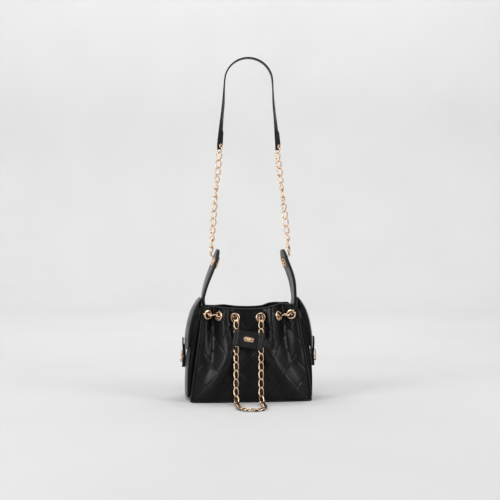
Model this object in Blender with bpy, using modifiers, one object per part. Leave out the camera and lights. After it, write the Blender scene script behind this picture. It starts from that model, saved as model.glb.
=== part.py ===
"""Drawstring bucket bag in quilted black leather, with side pockets, a chain drawstring and a chain shoulder strap.

Frame: +X to the wearer's right as seen from the front, -Y to the front, +Z up, origin at the middle of the
base's underside. Every length is in metres. Each object in the "bucket_bag" collection is one piece of the bag.
"""

import math

import bmesh
import bpy
from mathutils import Matrix, Vector

MM = 0.001

# ---- driving dimensions -------------------------------------------------------------------------------------
GAP = 0.3 * MM  # left between pieces that touch
PANEL = 2.4 * MM  # thickness of the quilted leather with its backing
BASE_HALF_WIDTH = 107 * MM
BASE_HALF_DEPTH = 57 * MM
RIM_Z = 168 * MM
RIM_LIFT = 5 * MM
CINCH_X = -6 * MM  # the gathered front sits this far off the middle

EYELET_HOLE = 5.3 * MM  # radius
EYELET_RIM = 9.0 * MM  # outer radius of the flange
EYELET_BARREL = 0.6 * MM  # wall of the barrel
EYELETS = ((0.27, 150), (0.62, 153), (0.88, 155))  # share of half the panel's width, and height

CORD_RADIUS = 2.2 * MM  # plain solid of the woven drawstring chain
LEG_SPREAD = 22.3 * MM  # half the distance between the two hanging legs of the drawstring
LEG_TOP = Vector((-5.4, -54, 136)) * MM  # between the legs, above the slider
LEG_FOOT = Vector((-7.4, -71, 22)) * MM
LOOP_REACH_Y = -151 * MM  # centre line of the loop's turn, out on the floor

SLIDER_LENGTH = 30 * MM
SLIDER_TILT = math.radians(10)
SLEEVE_HALF_WIDTH = 6.1 * MM
SLEEVE_HALF_DEPTH = 5.2 * MM
SLEEVE_WALL = 1.1 * MM

TAB_THICKNESS = 5.6 * MM
TAB_TWIST = math.radians(8)
TAB_EYELET_Z = 250 * MM
TAB_LEAN = 3 * MM  # both tabs lean this far to the right, with the strap between them

STRAP_WIDTH = 12 * MM
STRAP_THICKNESS = 2.4 * MM
STRAP_END_X = 53.6 * MM
STRAP_HOLE_Z = 462 * MM
STRAP_SHOULDER_Z = 582 * MM
STRAP_TOP_RADIUS = 44.5 * MM
STRAP_HOLE = 2.5 * MM  # radius
STRAP_EYELET_RIM = 4.5 * MM
CHAIN_RADIUS = 2.6 * MM  # plain solid of the shoulder chain
CHAIN_FOOT = Vector((67.3, 0, 277)) * MM  # where each chain leaves its tab, before the lean
RING_RADIUS = 5.5 * MM
RING_WIRE = 1.1 * MM

POCKET_HALF_WIDTH = 31 * MM
POCKET_WALL = 1.2 * MM
POCKET_BOTTOM_Z = 6 * MM
POCKET_TOP_Z = 148 * MM
SIDE_CURVE = 5.2  # a side piece falls back by this much per square metre of distance from its middle
FLAP_HALF_WIDTH = 33 * MM
FLAP_THICKNESS = 2.6 * MM
STRIP_HALF_WIDTH = 20 * MM
FLAP_HINGE_X = 92.5 * MM
FLAP_HINGE_Z = 184 * MM
BELT_WIDTH = 15 * MM
BELT_THICKNESS = 2.4 * MM
BUCKLE_Z = 78 * MM
BUCKLE_HALF = Vector((0, 10.2, 9.5)) * MM
BUCKLE_WIRE = 1.1 * MM
SNAP_RADIUS = 6 * MM

LINING_TOP_Z = 126 * MM
LINING_INSET = 4.2 * MM

# Profiles up the body: height, then the size there, all in millimetres.
SEAM_HALF_WIDTH = ((0, 107), (30, 104), (62, 99.5), (90, 95.5), (125, 90.5), (150, 87), (170, 84))
GUSSET_BULGE = ((0, 1.5), (30, 2), (62, 2.5), (105, 2.5), (146, 3), (170, 4))
FRONT_DEPTH = ((0, 57), (30, 58.5), (60, 56.5), (100, 49.5), (130, 42.5), (150, 38.5), (170, 36))
POCKET_OUTER = ((5, 117.5), (40, 118), (78, 115.5), (105, 110.5), (130, 106), (150, 100))
TAB_PATH = ((84.6, 136), (83.6, 152), (82.8, 168), (84.4, 180), (83.6, 191), (79, 214), (71.5, 236), (65, 253), (59, 273))
TAB_HALF_WIDTH = ((136, 18), (190, 18), (246, 17), (261, 15), (269, 10.5), (273, 5))
FLAP_PATH = ((92.5, 184), (98.3, 177), (106.5, 163), (113.2, 143), (117.2, 120), (118.2, 104), (118.0, 92))
STRIP_PATH = ((95.0, 152), (93.4, 160), (91.9, 168), (90.9, 176), (90.6, 181))
BELT_PATH = ((121.0, 112), (121.3, 100), (120.6, 88), (120.4, 78), (120.8, 68), (121.8, 58))


# ---- small helpers ------------------------------------------------------------------------------------------
def clear_scene():
    for obj in list(bpy.data.objects):
        bpy.data.objects.remove(obj, do_unlink=True)


def make_collection(name):
    collection = bpy.data.collections.new(name)
    bpy.context.scene.collection.children.link(collection)
    return collection


def make_material(name, colour, roughness, metallic=0.0):
    material = bpy.data.materials.new(name)
    material.use_nodes = True
    shader = material.node_tree.nodes["Principled BSDF"]
    shader.inputs["Base Color"].default_value = (*colour, 1)
    shader.inputs["Roughness"].default_value = roughness
    shader.inputs["Metallic"].default_value = metallic
    return material


def table(pairs, at):
    """Reads a profile given in millimetres at a height in metres, on a smooth curve through its points."""
    at = at / MM
    if at <= pairs[0][0]:
        return pairs[0][1] * MM
    if at >= pairs[-1][0]:
        return pairs[-1][1] * MM
    slopes = [(b - a) / (high - low) for (low, a), (high, b) in zip(pairs, pairs[1:])]
    i = next(k for k in range(len(slopes)) if at <= pairs[k + 1][0])
    (low, a), (high, b) = pairs[i], pairs[i + 1]
    start = (slopes[max(i - 1, 0)] + slopes[i]) / 2
    end = (slopes[i] + slopes[min(i + 1, len(slopes) - 1)]) / 2
    width = high - low
    t = (at - low) / width
    rise = (2 * t**3 - 3 * t**2 + 1) * a + (3 * t**2 - 2 * t**3) * b
    return (rise + width * ((t**3 - 2 * t**2 + t) * start + (t**3 - t**2) * end)) * MM


def smooth(low, high, at):
    t = min(1.0, max(0.0, (at - low) / (high - low)))
    return t * t * (3 - 2 * t)


def spline(points, steps):
    """Points on a smooth Catmull-Rom curve through the given ones, steps to each stretch."""
    ends = [points[0] * 2 - points[1], *points, points[-1] * 2 - points[-2]]
    line = []
    for a, b, c, d in zip(ends, ends[1:], ends[2:], ends[3:]):
        for i in range(steps):
            t = i / steps
            line.append(
                0.5 * (2 * b + (c - a) * t + (2 * a - 5 * b + 4 * c - d) * t**2 + (3 * b - a - 3 * c + d) * t**3)
            )
    return line + [points[-1].copy()]


def add_object(name, data, material, collection=None):
    obj = bpy.data.objects.new(name, data)
    (collection or BAG).objects.link(obj)
    data.materials.clear()
    data.materials.append(material)
    return obj


def frame_on(centre, normal, up=Vector((0, 0, 1))):
    """A matrix at centre whose +Z runs along normal and whose +Y is as near to up as it can be."""
    z = normal.normalized()
    x = up.cross(z).normalized()
    y = z.cross(x)
    return Matrix.Translation(centre) @ Matrix((x, y, z)).transposed().to_4x4()


def mirror_x(points):
    return [Vector((-p.x, p.y, p.z)) for p in points]


def grid_mesh(name, rows, closed=False, capped=False):
    """An open sheet from rows of points. A closed sheet joins each row's ends; capped fills the first row."""
    bm = bmesh.new()
    made = [[bm.verts.new(p) for p in row] for row in rows]
    count = len(rows[0])
    for low, high in zip(made, made[1:]):
        for i in range(count if closed else count - 1):
            j = (i + 1) % count
            bm.faces.new((low[i], low[j], high[j], high[i]))
    if capped:
        bm.faces.new(reversed(made[0]))
    mesh = bpy.data.meshes.new(name)
    bm.to_mesh(mesh)
    bm.free()
    mesh.shade_smooth()
    return mesh


def sheet(name, rows, thickness, material, closed=False, capped=False, offset=0.0):
    obj = add_object(name, grid_mesh(name, rows, closed, capped), material)
    solidify = obj.modifiers.new("thickness", "SOLIDIFY")
    solidify.thickness = thickness
    solidify.offset = offset
    return obj


def loft(name, loops, material, collection=None):
    """A closed solid through closed loops of points, with flat ends."""
    bm = bmesh.new()
    made = [[bm.verts.new(p) for p in loop] for loop in loops]
    count = len(loops[0])
    for low, high in zip(made, made[1:]):
        for i in range(count):
            j = (i + 1) % count
            bm.faces.new((low[i], low[j], high[j], high[i]))
    bm.faces.new(reversed(made[0]))
    bm.faces.new(made[-1])
    bmesh.ops.recalc_face_normals(bm, faces=bm.faces)
    mesh = bpy.data.meshes.new(name)
    bm.to_mesh(mesh)
    bm.free()
    return add_object(name, mesh, material, collection)


def tube(name, points, radius, material, cyclic=False, resolution=2, collection=None):
    curve = bpy.data.curves.new(name, "CURVE")
    curve.dimensions = "3D"
    curve.bevel_depth = radius
    curve.bevel_resolution = resolution
    curve.use_fill_caps = not cyclic
    line = curve.splines.new("POLY")
    line.points.add(len(points) - 1)
    for knot, p in zip(line.points, points):
        knot.co = (*p, 1)
    line.use_cyclic_u = cyclic
    return add_object(name, curve, material, collection)


def as_mesh(obj):
    """The same object as a welded mesh, so that Boolean modifiers can use it."""
    bpy.context.view_layer.update()
    graph = bpy.context.evaluated_depsgraph_get()
    mesh = bpy.data.meshes.new_from_object(obj.evaluated_get(graph))
    bm = bmesh.new()
    bm.from_mesh(mesh)
    bmesh.ops.remove_doubles(bm, verts=bm.verts, dist=0.001 * MM)
    bm.to_mesh(mesh)
    bm.free()
    name, collection, world = obj.name, obj.users_collection[0], obj.matrix_world.copy()
    material = obj.data.materials[0]
    bpy.data.objects.remove(obj)
    made = add_object(name, mesh, material, collection)
    made.matrix_world = world
    return made


def boolean(obj, other, operation):
    modifier = obj.modifiers.new(f"{operation.lower()}_{other.name}", "BOOLEAN")
    modifier.operation = operation
    modifier.object = other
    return modifier


def hide_helper(obj):
    obj.hide_render = True
    obj.display_type = "WIRE"
    return obj


def cylinder(name, radius, length, matrix, material, segments=16, collection=None):
    bm = bmesh.new()
    bmesh.ops.create_cone(bm, cap_ends=True, segments=segments, radius1=radius, radius2=radius, depth=length)
    mesh = bpy.data.meshes.new(name)
    bm.to_mesh(mesh)
    bm.free()
    obj = add_object(name, mesh, material, collection)
    obj.matrix_world = matrix
    return obj


def block(name, size, matrix, material, bevel=0.0, collection=None):
    bm = bmesh.new()
    bmesh.ops.create_cube(bm, size=1, matrix=Matrix.Diagonal((*size, 1)))
    mesh = bpy.data.meshes.new(name)
    bm.to_mesh(mesh)
    bm.free()
    obj = add_object(name, mesh, material, collection)
    obj.matrix_world = matrix
    if bevel:
        edge = obj.modifiers.new("edge", "BEVEL")
        edge.width = bevel
        edge.segments = 2
    return obj


# ---- the body's surface -------------------------------------------------------------------------------------
def pleat(share):
    """How far the gathered leather stands out (+) or in (-) across half a panel, from -1 to 1."""
    s = abs(share)
    ridge = math.exp(-(((s - 0.49) / 0.115) ** 2))
    valley = math.exp(-(((s - 0.76) / 0.10) ** 2))
    return 0.9 * ridge - valley


def rim_height(share):
    """The rim dips between the middle eyelets and stands up towards the right."""
    dip = 3 * MM * math.cos(min(1.0, abs(share) / 0.5) * math.pi / 2)
    return RIM_Z - dip + RIM_LIFT * smooth(0.3, 0.7, share) * (1 - smooth(0.9, 1.0, share))


def panel_point(share, z, side):
    """A point on the front (side -1) or back (side +1) panel; share runs from -1 to 1 across it."""
    gathered = smooth(45 * MM, 148 * MM, z)
    x = share * table(SEAM_HALF_WIDTH, z)
    if side < 0:
        x += CINCH_X * gathered * (1 - share**2)
    depth = table(FRONT_DEPTH, z) * (1 - 0.11 * abs(share) ** 5)
    depth += 10.5 * MM * gathered * pleat(share)
    return Vector((x, side * depth, z))


def gusset_point(share, z, side):
    """A point on the left (side -1) or right (side +1) gusset; share runs from -1, front, to 1, back."""
    seam = panel_point(1.0, z, 1)
    x = table(SEAM_HALF_WIDTH, z) + table(GUSSET_BULGE, z) * (1 - abs(share) ** 2.4)
    return Vector((side * x, seam.y * share, z))


def panel_normal(share, z, side):
    step = 0.01
    across = panel_point(share + step, z, side) - panel_point(share - step, z, side)
    up = panel_point(share, z + MM, side) - panel_point(share, z - MM, side)
    normal = across.cross(up).normalized()
    return normal if normal.y * side > 0 else -normal


def eyelet_places(side):
    """(centre, outward normal) of the panel's six eyelets, from left to right."""
    places = []
    for share, height in [(-share, z) for share, z in reversed(EYELETS)] + list(EYELETS):
        places.append((panel_point(share, height * MM, side), panel_normal(share, height * MM, side)))
    return places


def flattened(point, places, flat, blend):
    """Moves a point of the sheet onto the plane of an eyelet that is near it."""
    for centre, normal in places:
        off = point - centre
        height = off.dot(normal)
        across = (off - normal * height).length
        if across < blend and abs(height) < blend:
            point = point - normal * height * (1 - smooth(flat, blend, across))
    return point


# ---- the bag's own leather ----------------------------------------------------------------------------------
def make_panel(name, side):
    places = eyelet_places(side)
    columns, rows = 38, 9
    low = PANEL + GAP * 1.5
    sheet_rows = []
    for r in range(rows + 1):
        row = []
        for c in range(columns + 1):
            share = -1 + 2 * c / columns
            z = low + (rim_height(share) - low) * r / rows
            row.append(flattened(panel_point(share, z, side), places, 9.6 * MM, 12.5 * MM))
        sheet_rows.append(row if side < 0 else row[::-1])
    obj = sheet(name, sheet_rows, PANEL, LEATHER)
    spool = spool_mesh("panel_spool", EYELET_HOLE, EYELET_RIM, PANEL / 2)
    for number, (centre, normal) in enumerate(places, 1):
        cutter = turned(f"cut_{name}_{number}", spool, centre, normal, LEATHER, 12, CUTTERS)
        boolean(obj, hide_helper(cutter), "DIFFERENCE")


def make_gusset(name, side):
    columns, rows = 8, 8
    low = PANEL + GAP * 1.5
    end = 1 - 2.2 * MM / BASE_HALF_DEPTH
    sheet_rows = []
    for r in range(rows + 1):
        z = low + (RIM_Z - low) * r / rows
        row = [gusset_point(end * (-1 + 2 * c / columns), z, side) for c in range(columns + 1)]
        sheet_rows.append(row if side > 0 else row[::-1])
    return sheet(name, sheet_rows, PANEL, LEATHER)


def make_base():
    middle = Matrix.Translation((0, 0, PANEL / 2))
    size = (2 * BASE_HALF_WIDTH + 3 * MM, 2 * BASE_HALF_DEPTH + 2 * MM, PANEL)
    block("base_panel", size, middle, LEATHER)
    board = Matrix.Translation((0, 0, PANEL + GAP + 1.0 * MM))
    block("base_board", (196 * MM, 98 * MM, 2 * MM), board, BOARD, 0.4 * MM)


def make_lining():
    """The lining hangs inside the outer shell, with its bottom on the base board."""
    low = PANEL + 2 * GAP + 2.6 * MM
    loops = []
    rows = 4
    for r in range(rows + 1):
        z = low + (LINING_TOP_Z - low) * r / rows
        loop = [panel_point(-1 + c / 8, z, -1) for c in range(16)]
        loop += [gusset_point(-1 + c / 2, z, 1) for c in range(4)]
        loop += [panel_point(1 - c / 8, z, 1) for c in range(16)]
        loop += [gusset_point(1 - c / 2, z, -1) for c in range(4)]
        count = len(loop)
        inset = []
        for i, p in enumerate(loop):
            along = (loop[(i + 1) % count] - loop[i - 1]).normalized()
            inset.append(p + Vector((-along.y, along.x, 0)) * LINING_INSET)
        loops.append(inset)
    sheet("lining", loops, 0.8 * MM, LINING, closed=True, capped=True, offset=-1.0)


# ---- eyelets ------------------------------------------------------------------------------------------------
def eyelet_mesh(name, hole, rim, half):
    """Half profile of a domed eyelet round a sheet of half thickness half, down its outer side and up the bore."""
    seat = half + GAP
    barrel = hole + EYELET_BARREL
    profile = [
        (rim, seat),
        (barrel, seat),
        (barrel, -seat),
        (rim - 0.6 * MM, -seat),
        (hole, -seat - 0.9 * MM),
        (hole, seat + 0.6 * MM),
        (barrel + 0.9 * MM, seat + 1.5 * MM),
    ]
    mesh = bpy.data.meshes.new(name)
    count = len(profile)
    mesh.from_pydata([(r, 0, z) for r, z in profile], [(i, (i + 1) % count) for i in range(count)], [])
    return mesh


def spool_mesh(name, hole, rim, half):
    """Half profile of the space that an eyelet and its flanges take in a sheet of half thickness half."""
    face = half + GAP / 6
    profile = [
        (0, face + 5 * MM),
        (rim + GAP, face + 5 * MM),
        (rim + GAP, face),
        (hole + EYELET_BARREL + GAP, face),
        (hole + EYELET_BARREL + GAP, -face),
        (rim + GAP, -face),
        (rim + GAP, -face - 5 * MM),
        (0, -face - 5 * MM),
    ]
    mesh = bpy.data.meshes.new(name)
    mesh.from_pydata([(r, 0, z) for r, z in profile], [(i, i + 1) for i in range(len(profile) - 1)], [])
    return mesh


def turned(name, mesh, centre, normal, material, steps=12, collection=None):
    obj = add_object(name, mesh, material, collection)
    obj.matrix_world = frame_on(centre, normal)
    screw = obj.modifiers.new("turn", "SCREW")
    screw.steps = steps
    screw.render_steps = steps
    screw.use_merge_vertices = True
    screw.merge_threshold = 0.01 * MM
    return obj


def make_panel_eyelets():
    mesh = eyelet_mesh("panel_eyelet", EYELET_HOLE, EYELET_RIM, PANEL / 2)
    for face, side in (("front", -1), ("back", 1)):
        for number, (centre, normal) in enumerate(eyelet_places(side), 1):
            turned(f"eyelet_{face}_{number}", mesh, centre, normal, GOLD)


# ---- drawstring chain ---------------------------------------------------------------------------------------
def drawstring_run_points():
    """Through the eyelets from the front's left middle one, round the back, to its right middle one."""
    front, back = eyelet_places(-1), eyelet_places(1)
    reach = 6.5 * MM

    def through(place, outward_first):
        centre, normal = place
        first, last = (reach, -reach) if outward_first else (-reach, reach)
        return [centre + normal * first, centre, centre + normal * last]

    points = [front[2][0], front[2][0] - front[2][1] * reach]
    points += through(front[1], False)
    points += through(front[0], True)
    points += [Vector((-77, y, 154)) * MM for y in (-15, 0, 15)]
    points += through(back[0], False)
    points += through(back[1], True)
    points += through(back[2], False)
    points += through(back[3], True)
    points += through(back[4], False)
    points += through(back[5], True)
    points += [Vector((77, y, 154)) * MM for y in (15, 0, -15)]
    points += through(front[5], False)
    points += through(front[4], True)
    points += [front[3][0] - front[3][1] * reach, front[3][0]]
    return points


def leg_exit(place):
    """A leg starts in its eyelet, a little outside the run's end, and turns down once it is clear of it."""
    centre, normal = place
    start = centre + normal * 1 * MM
    out = normal * 5.5 * MM
    return [start, start + out, start + 2 * out - Vector((0, 0, 5 * MM))]


def loop_points():
    """The hanging loop: down the left leg, out along the floor, round its turn and back up the right leg."""
    floor_z = CORD_RADIUS + 0.8 * MM
    drop = [LEG_TOP.lerp(LEG_FOOT, share) for share in (0, 0.05, 0.36, 0.67, 0.84, 1)]
    drop += [Vector((LEG_FOOT.x, -75.5 * MM, 8.5 * MM)), Vector((LEG_FOOT.x, -85 * MM, floor_z))]
    exits = [leg_exit(place) for place in eyelet_places(-1)[2:4]]
    spread = Vector((LEG_SPREAD, 0, 0))
    left = exits[0] + [p - spread for p in drop]
    turn_y = LOOP_REACH_Y + LEG_SPREAD
    turn = []
    for i in range(7):
        angle = math.pi * i / 6
        turn.append(
            Vector((LEG_FOOT.x - LEG_SPREAD * math.cos(angle), turn_y - LEG_SPREAD * math.sin(angle), floor_z))
        )
    right = [p + spread for p in reversed(drop)] + exits[1][::-1]
    return left + turn + right


def make_drawstring():
    tube("drawstring_run", spline(drawstring_run_points(), 2), CORD_RADIUS, CHAIN, resolution=1)
    tube("drawstring_loop", spline(loop_points(), 3), CORD_RADIUS, CHAIN)


# ---- slider -------------------------------------------------------------------------------------------------
def slider_frame():
    """At the slider's middle, +Y up along the legs, +Z out of the bag's front, tilted like the resting slider."""
    middle = LEG_TOP.lerp(LEG_FOOT, 0.21)
    along = Vector((0, LEG_TOP.y - LEG_FOOT.y, LEG_TOP.z - LEG_FOOT.z)).normalized()
    out = Vector((1, 0, 0)).cross(along)
    turn = Matrix((Vector((1, 0, 0)), along, out)).transposed().to_4x4()
    return Matrix.Translation(middle) @ turn @ Matrix.Rotation(-SLIDER_TILT, 4, "Z")


def sleeve_loop(half_x, half_y, centre_x, at, matrix):
    """A rounded rectangle round one leg, at a height along the slider."""
    points = []
    radius = min(half_x, half_y) * 0.75
    for corner_x, corner_y, start in ((1, 1, 0), (-1, 1, 90), (-1, -1, 180), (1, -1, 270)):
        for step in range(4):
            angle = math.radians(start + 30 * step)
            x = centre_x + corner_x * (half_x - radius) + radius * math.cos(angle)
            z = corner_y * (half_y - radius) + radius * math.sin(angle)
            points.append(matrix @ Vector((x, at, z)))
    return points


def make_slider():
    """Two rolled sleeves on the legs and the leather bridge that joins them, with its plate and stud."""
    matrix = slider_frame()
    half = SLIDER_LENGTH / 2
    bridge = block(
        "slider_leather",
        (2 * (LEG_SPREAD - SLEEVE_HALF_WIDTH) + 1.5 * MM, SLIDER_LENGTH - 1 * MM, 2.8 * MM),
        matrix,
        LEATHER,
        0.5 * MM,
    )
    holes = []
    for side in (-1, 1):
        centre_x = side * LEG_SPREAD
        outer = [sleeve_loop(SLEEVE_HALF_WIDTH, SLEEVE_HALF_DEPTH, centre_x, at, matrix) for at in (-half, half)]
        inner_x, inner_y = SLEEVE_HALF_WIDTH - SLEEVE_WALL, SLEEVE_HALF_DEPTH - SLEEVE_WALL
        inner = [sleeve_loop(inner_x, inner_y, centre_x, at * 1.2, matrix) for at in (-half, half)]
        sleeve = hide_helper(loft(f"sleeve_{side}", outer, LEATHER, CUTTERS))
        boolean(bridge, sleeve, "UNION")
        holes.append(hide_helper(loft(f"sleeve_hole_{side}", inner, LEATHER, CUTTERS)))
    for hole in holes:
        boolean(bridge, hole, "DIFFERENCE")
    plate_at = matrix @ Matrix.Translation((0, 0, 1.4 * MM + GAP + 0.8 * MM))
    block("slider_plate", (19 * MM, 9.5 * MM, 1.6 * MM), plate_at, GOLD, 0.5 * MM)
    stud_at = plate_at @ Matrix.Translation((0, 0, 0.8 * MM + GAP + 0.8 * MM))
    cylinder("slider_stud", 3 * MM, 1.6 * MM, stud_at, GOLD)


# ---- side tabs and shoulder strap ---------------------------------------------------------------------------
def tab_point(x, z, across, side):
    """A point of a tab's middle sheet. Above the rim the tab twists about Z, the same way on both sides."""
    raised = smooth(175 * MM, 235 * MM, z)
    twist = TAB_TWIST * raised
    return Vector((side * x + TAB_LEAN * raised - across * math.sin(twist), across * math.cos(twist), z))


def tab_at(z, side):
    """(centre, outward normal) of a tab at a height."""
    ordered = [(h, x) for x, h in TAB_PATH]
    here, above = table(ordered, z), table(ordered, z + 4 * MM)
    up = Vector((side * (above - here), 0, 4 * MM))
    twist = TAB_TWIST * smooth(175 * MM, 235 * MM, z)
    across = Vector((-math.sin(twist), math.cos(twist), 0))
    normal = across.cross(up).normalized()
    if normal.x * side < 0:
        normal = -normal
    return tab_point(here, z, 0, side), normal


def make_tab(name, side):
    path = spline([Vector((x, 0, z)) * MM for x, z in TAB_PATH], 3)
    rows = []
    for p in path:
        half = table(TAB_HALF_WIDTH, p.z)
        row = [tab_point(p.x, p.z, half * (-1 + 2 * c / 6), side) for c in range(7)]
        rows.append(row if side > 0 else row[::-1])
    centre, normal = tab_at(TAB_EYELET_Z, side)
    rows = [[flattened(p, [(centre, normal)], 11 * MM, 18 * MM) for p in row] for row in rows]
    obj = sheet(name, rows, TAB_THICKNESS, LEATHER)
    radius = EYELET_HOLE + EYELET_BARREL + GAP
    cutter = cylinder(f"cut_{name}", radius, 20 * MM, frame_on(centre, normal), LEATHER, 16, CUTTERS)
    boolean(obj, hide_helper(cutter), "DIFFERENCE")
    return centre, normal


def make_toggle(name, centre, normal):
    """The T-bar that stops the chain on a tab's inner face, with its stem in the eyelet."""
    axis = frame_on(centre, normal)
    bar_depth = TAB_THICKNESS / 2 + 1.3 * MM + GAP + 1.7 * MM
    bar_at = axis @ Matrix.Translation((0, 0, -bar_depth)) @ Matrix.Rotation(math.pi / 2, 4, "X")
    bar = cylinder(name, 1.7 * MM, 22 * MM, bar_at, GOLD, 12)
    stem_at = axis @ Matrix.Translation((0, 0, -bar_depth / 2 + 1.0 * MM))
    stem = cylinder(f"stem_{name}", 1.5 * MM, bar_depth + 2 * MM, stem_at, GOLD, 12, CUTTERS)
    boolean(bar, hide_helper(stem), "UNION")


def make_tabs():
    mesh = eyelet_mesh("tab_eyelet", EYELET_HOLE, EYELET_RIM, TAB_THICKNESS / 2)
    for word, side in (("left", -1), ("right", 1)):
        centre, normal = make_tab(f"tab_{word}", side)
        turned(f"tab_eyelet_{word}", mesh, centre, normal, GOLD)
        make_toggle(f"strap_toggle_{word}", centre, normal)


def strap_path():
    """Centre line of the strap from its left end over the top to its right end."""
    low = STRAP_HOLE_Z - 5.2 * MM
    right = [Vector((STRAP_END_X + 0.2 * MM, 0, low)), Vector((STRAP_END_X, 0, STRAP_HOLE_Z + 6 * MM))]
    right += [Vector((STRAP_END_X - 3.2 * MM, 0, 505 * MM)), Vector((STRAP_TOP_RADIUS + 2 * MM, 0, 545 * MM))]
    arc = []
    for i in range(9):
        angle = math.pi * i / 8
        arc.append(
            Vector((STRAP_TOP_RADIUS * math.cos(angle), 0, STRAP_SHOULDER_Z + STRAP_TOP_RADIUS * math.sin(angle)))
        )
    return spline(right + arc + mirror_x(reversed(right)), 2)


def make_strap():
    path = strap_path()
    rows = []
    for i, p in enumerate(path):
        half = STRAP_WIDTH / 2 * (0.72 if i in (0, len(path) - 1) else 1.0)
        rows.append([p + Vector((0, half * (-1 + c), 0)) for c in range(3)])
    strap = sheet("shoulder_strap", rows, STRAP_THICKNESS, LEATHER)
    mesh = eyelet_mesh("strap_eyelet", STRAP_HOLE, STRAP_EYELET_RIM, STRAP_THICKNESS / 2)
    spool = spool_mesh("strap_spool", STRAP_HOLE, STRAP_EYELET_RIM, STRAP_THICKNESS / 2)
    foot = Vector((STRAP_END_X, 0, STRAP_HOLE_Z))
    for word, side in (("left", -1), ("right", 1)):
        centre = Vector((side * foot.x, 0, foot.z))
        cutter = turned(f"cut_strap_{word}", spool, centre, Vector((side, 0, 0)), LEATHER, 12, CUTTERS)
        boolean(strap, hide_helper(cutter), "DIFFERENCE")
        turned(f"strap_eyelet_{word}", mesh, centre, Vector((side, 0, 0)), GOLD, 12)
        make_strap_ring(f"strap_ring_{word}", centre)
        top = centre - Vector((0, 0, 2 * RING_RADIUS + RING_WIRE + GAP))
        chain_foot = Vector((side * CHAIN_FOOT.x + TAB_LEAN, 0, CHAIN_FOOT.z))
        line = [top.lerp(chain_foot, i / 6) for i in range(7)]
        tube(f"strap_chain_{word}", line, CHAIN_RADIUS, GOLD)


def make_strap_ring(name, hole):
    bpy.ops.mesh.primitive_torus_add(
        major_segments=20, minor_segments=8, major_radius=RING_RADIUS, minor_radius=RING_WIRE
    )
    obj = bpy.context.object
    obj.name = name
    obj.data.materials.append(GOLD)
    for collection in list(obj.users_collection):
        collection.objects.unlink(obj)
    BAG.objects.link(obj)
    obj.matrix_world = frame_on(hole - Vector((0, 0, RING_RADIUS)), Vector((0, 1, 0)))
    obj.data.shade_smooth()


# ---- side pockets, flaps, belts and buckles -----------------------------------------------------------------
def fallen_back(y):
    """How far a side piece falls back towards the bag at a distance y from its middle."""
    return SIDE_CURVE * y * y


def pocket_loop(z, side, inset):
    """One level of the pouch: round its outer face, then back along the face that lies on the gusset."""
    half = POCKET_HALF_WIDTH * (1 - 0.06 * smooth(40 * MM, 4 * MM, z)) - inset
    outer = table(POCKET_OUTER, z) - inset
    ys = [half * (-1 + 2 * i / 8) for i in range(9)]
    front = [Vector((side * (outer - fallen_back(y)), y, z)) for y in ys]
    back = []
    for y in reversed(ys):
        share = min(1.0, abs(y) / panel_point(1.0, z, 1).y)
        wall = gusset_point(share, z, 1).x + PANEL / 2 + 2 * GAP + inset
        back.append(Vector((side * min(wall, outer - fallen_back(y) - 0.6 * MM), y, z)))
    return front + back


def make_pocket(name, side):
    levels = [POCKET_BOTTOM_Z + (POCKET_TOP_Z - POCKET_BOTTOM_Z) * i / 10 for i in range(11)]
    pouch = loft(name, [pocket_loop(z, side, 0.0) for z in levels], LEATHER)
    floor = POCKET_BOTTOM_Z + POCKET_WALL
    hollow_levels = [floor + (POCKET_TOP_Z + 6 * MM - floor) * i / 10 for i in range(11)]
    hollow = loft(
        f"hollow_{name}", [pocket_loop(z, side, POCKET_WALL) for z in hollow_levels], LEATHER, CUTTERS
    )
    boolean(pouch, hide_helper(hollow), "DIFFERENCE")


def side_sheet(name, path, half_width, thickness, side, columns=8, taper=None):
    """A flap or belt: a sheet along a path in the XZ plane, curved back towards the bag at its edges."""
    rows = []
    count = len(path)
    for i, p in enumerate(path):
        half = half_width * (taper(i / (count - 1)) if taper else 1.0)
        ys = [half * (-1 + 2 * c / columns) for c in range(columns + 1)]
        row = [Vector((side * (p.x - fallen_back(y)), y, p.z)) for y in ys]
        rows.append(row if side < 0 else row[::-1])
    return sheet(name, rows, thickness, LEATHER)


def make_flap(word, side):
    """The flap, and the strip on the gusset that it is sewn to and turns on."""
    strip = spline([Vector((x, 0, z)) * MM for x, z in STRIP_PATH], 2)
    side_sheet(f"flap_strip_{word}", strip, STRIP_HALF_WIDTH, 1.6 * MM, side)
    path = spline([Vector((x, 0, z)) * MM for x, z in FLAP_PATH], 2)
    half = FLAP_THICKNESS / 2
    inner = [p - Vector((half, 0, 0)) if i else p for i, p in enumerate(path)]
    side_sheet(
        f"flap_{word}",
        inner,
        FLAP_HALF_WIDTH,
        FLAP_THICKNESS,
        side,
        taper=lambda t: 0.78 + 0.22 * smooth(0, 0.5, t),
    )


def make_belt(name, side):
    path = spline([Vector((x, 0, z)) * MM for x, z in BELT_PATH], 2)
    belt = side_sheet(
        name, path, BELT_WIDTH / 2, BELT_THICKNESS, side, 4, taper=lambda t: 1 - 0.5 * smooth(0.8, 1.0, t)
    )
    slot_at = Matrix.Translation((side * 120.5 * MM, 0, BUCKLE_Z - 1.0 * MM))
    slot = block(f"slot_{name}", (12 * MM, 3.6 * MM, 9 * MM), slot_at, LEATHER, collection=CUTTERS)
    boolean(belt, hide_helper(slot), "DIFFERENCE")


def buckle_bar_x():
    """Centre of the middle bar, between the belt and the pocket."""
    return 120.4 * MM - BELT_THICKNESS / 2 - GAP - BUCKLE_WIRE


def buckle_frame_x():
    """Centre of the outer ring, just outside the belt."""
    return 120.8 * MM + BELT_THICKNESS / 2 + GAP + BUCKLE_WIRE


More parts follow.
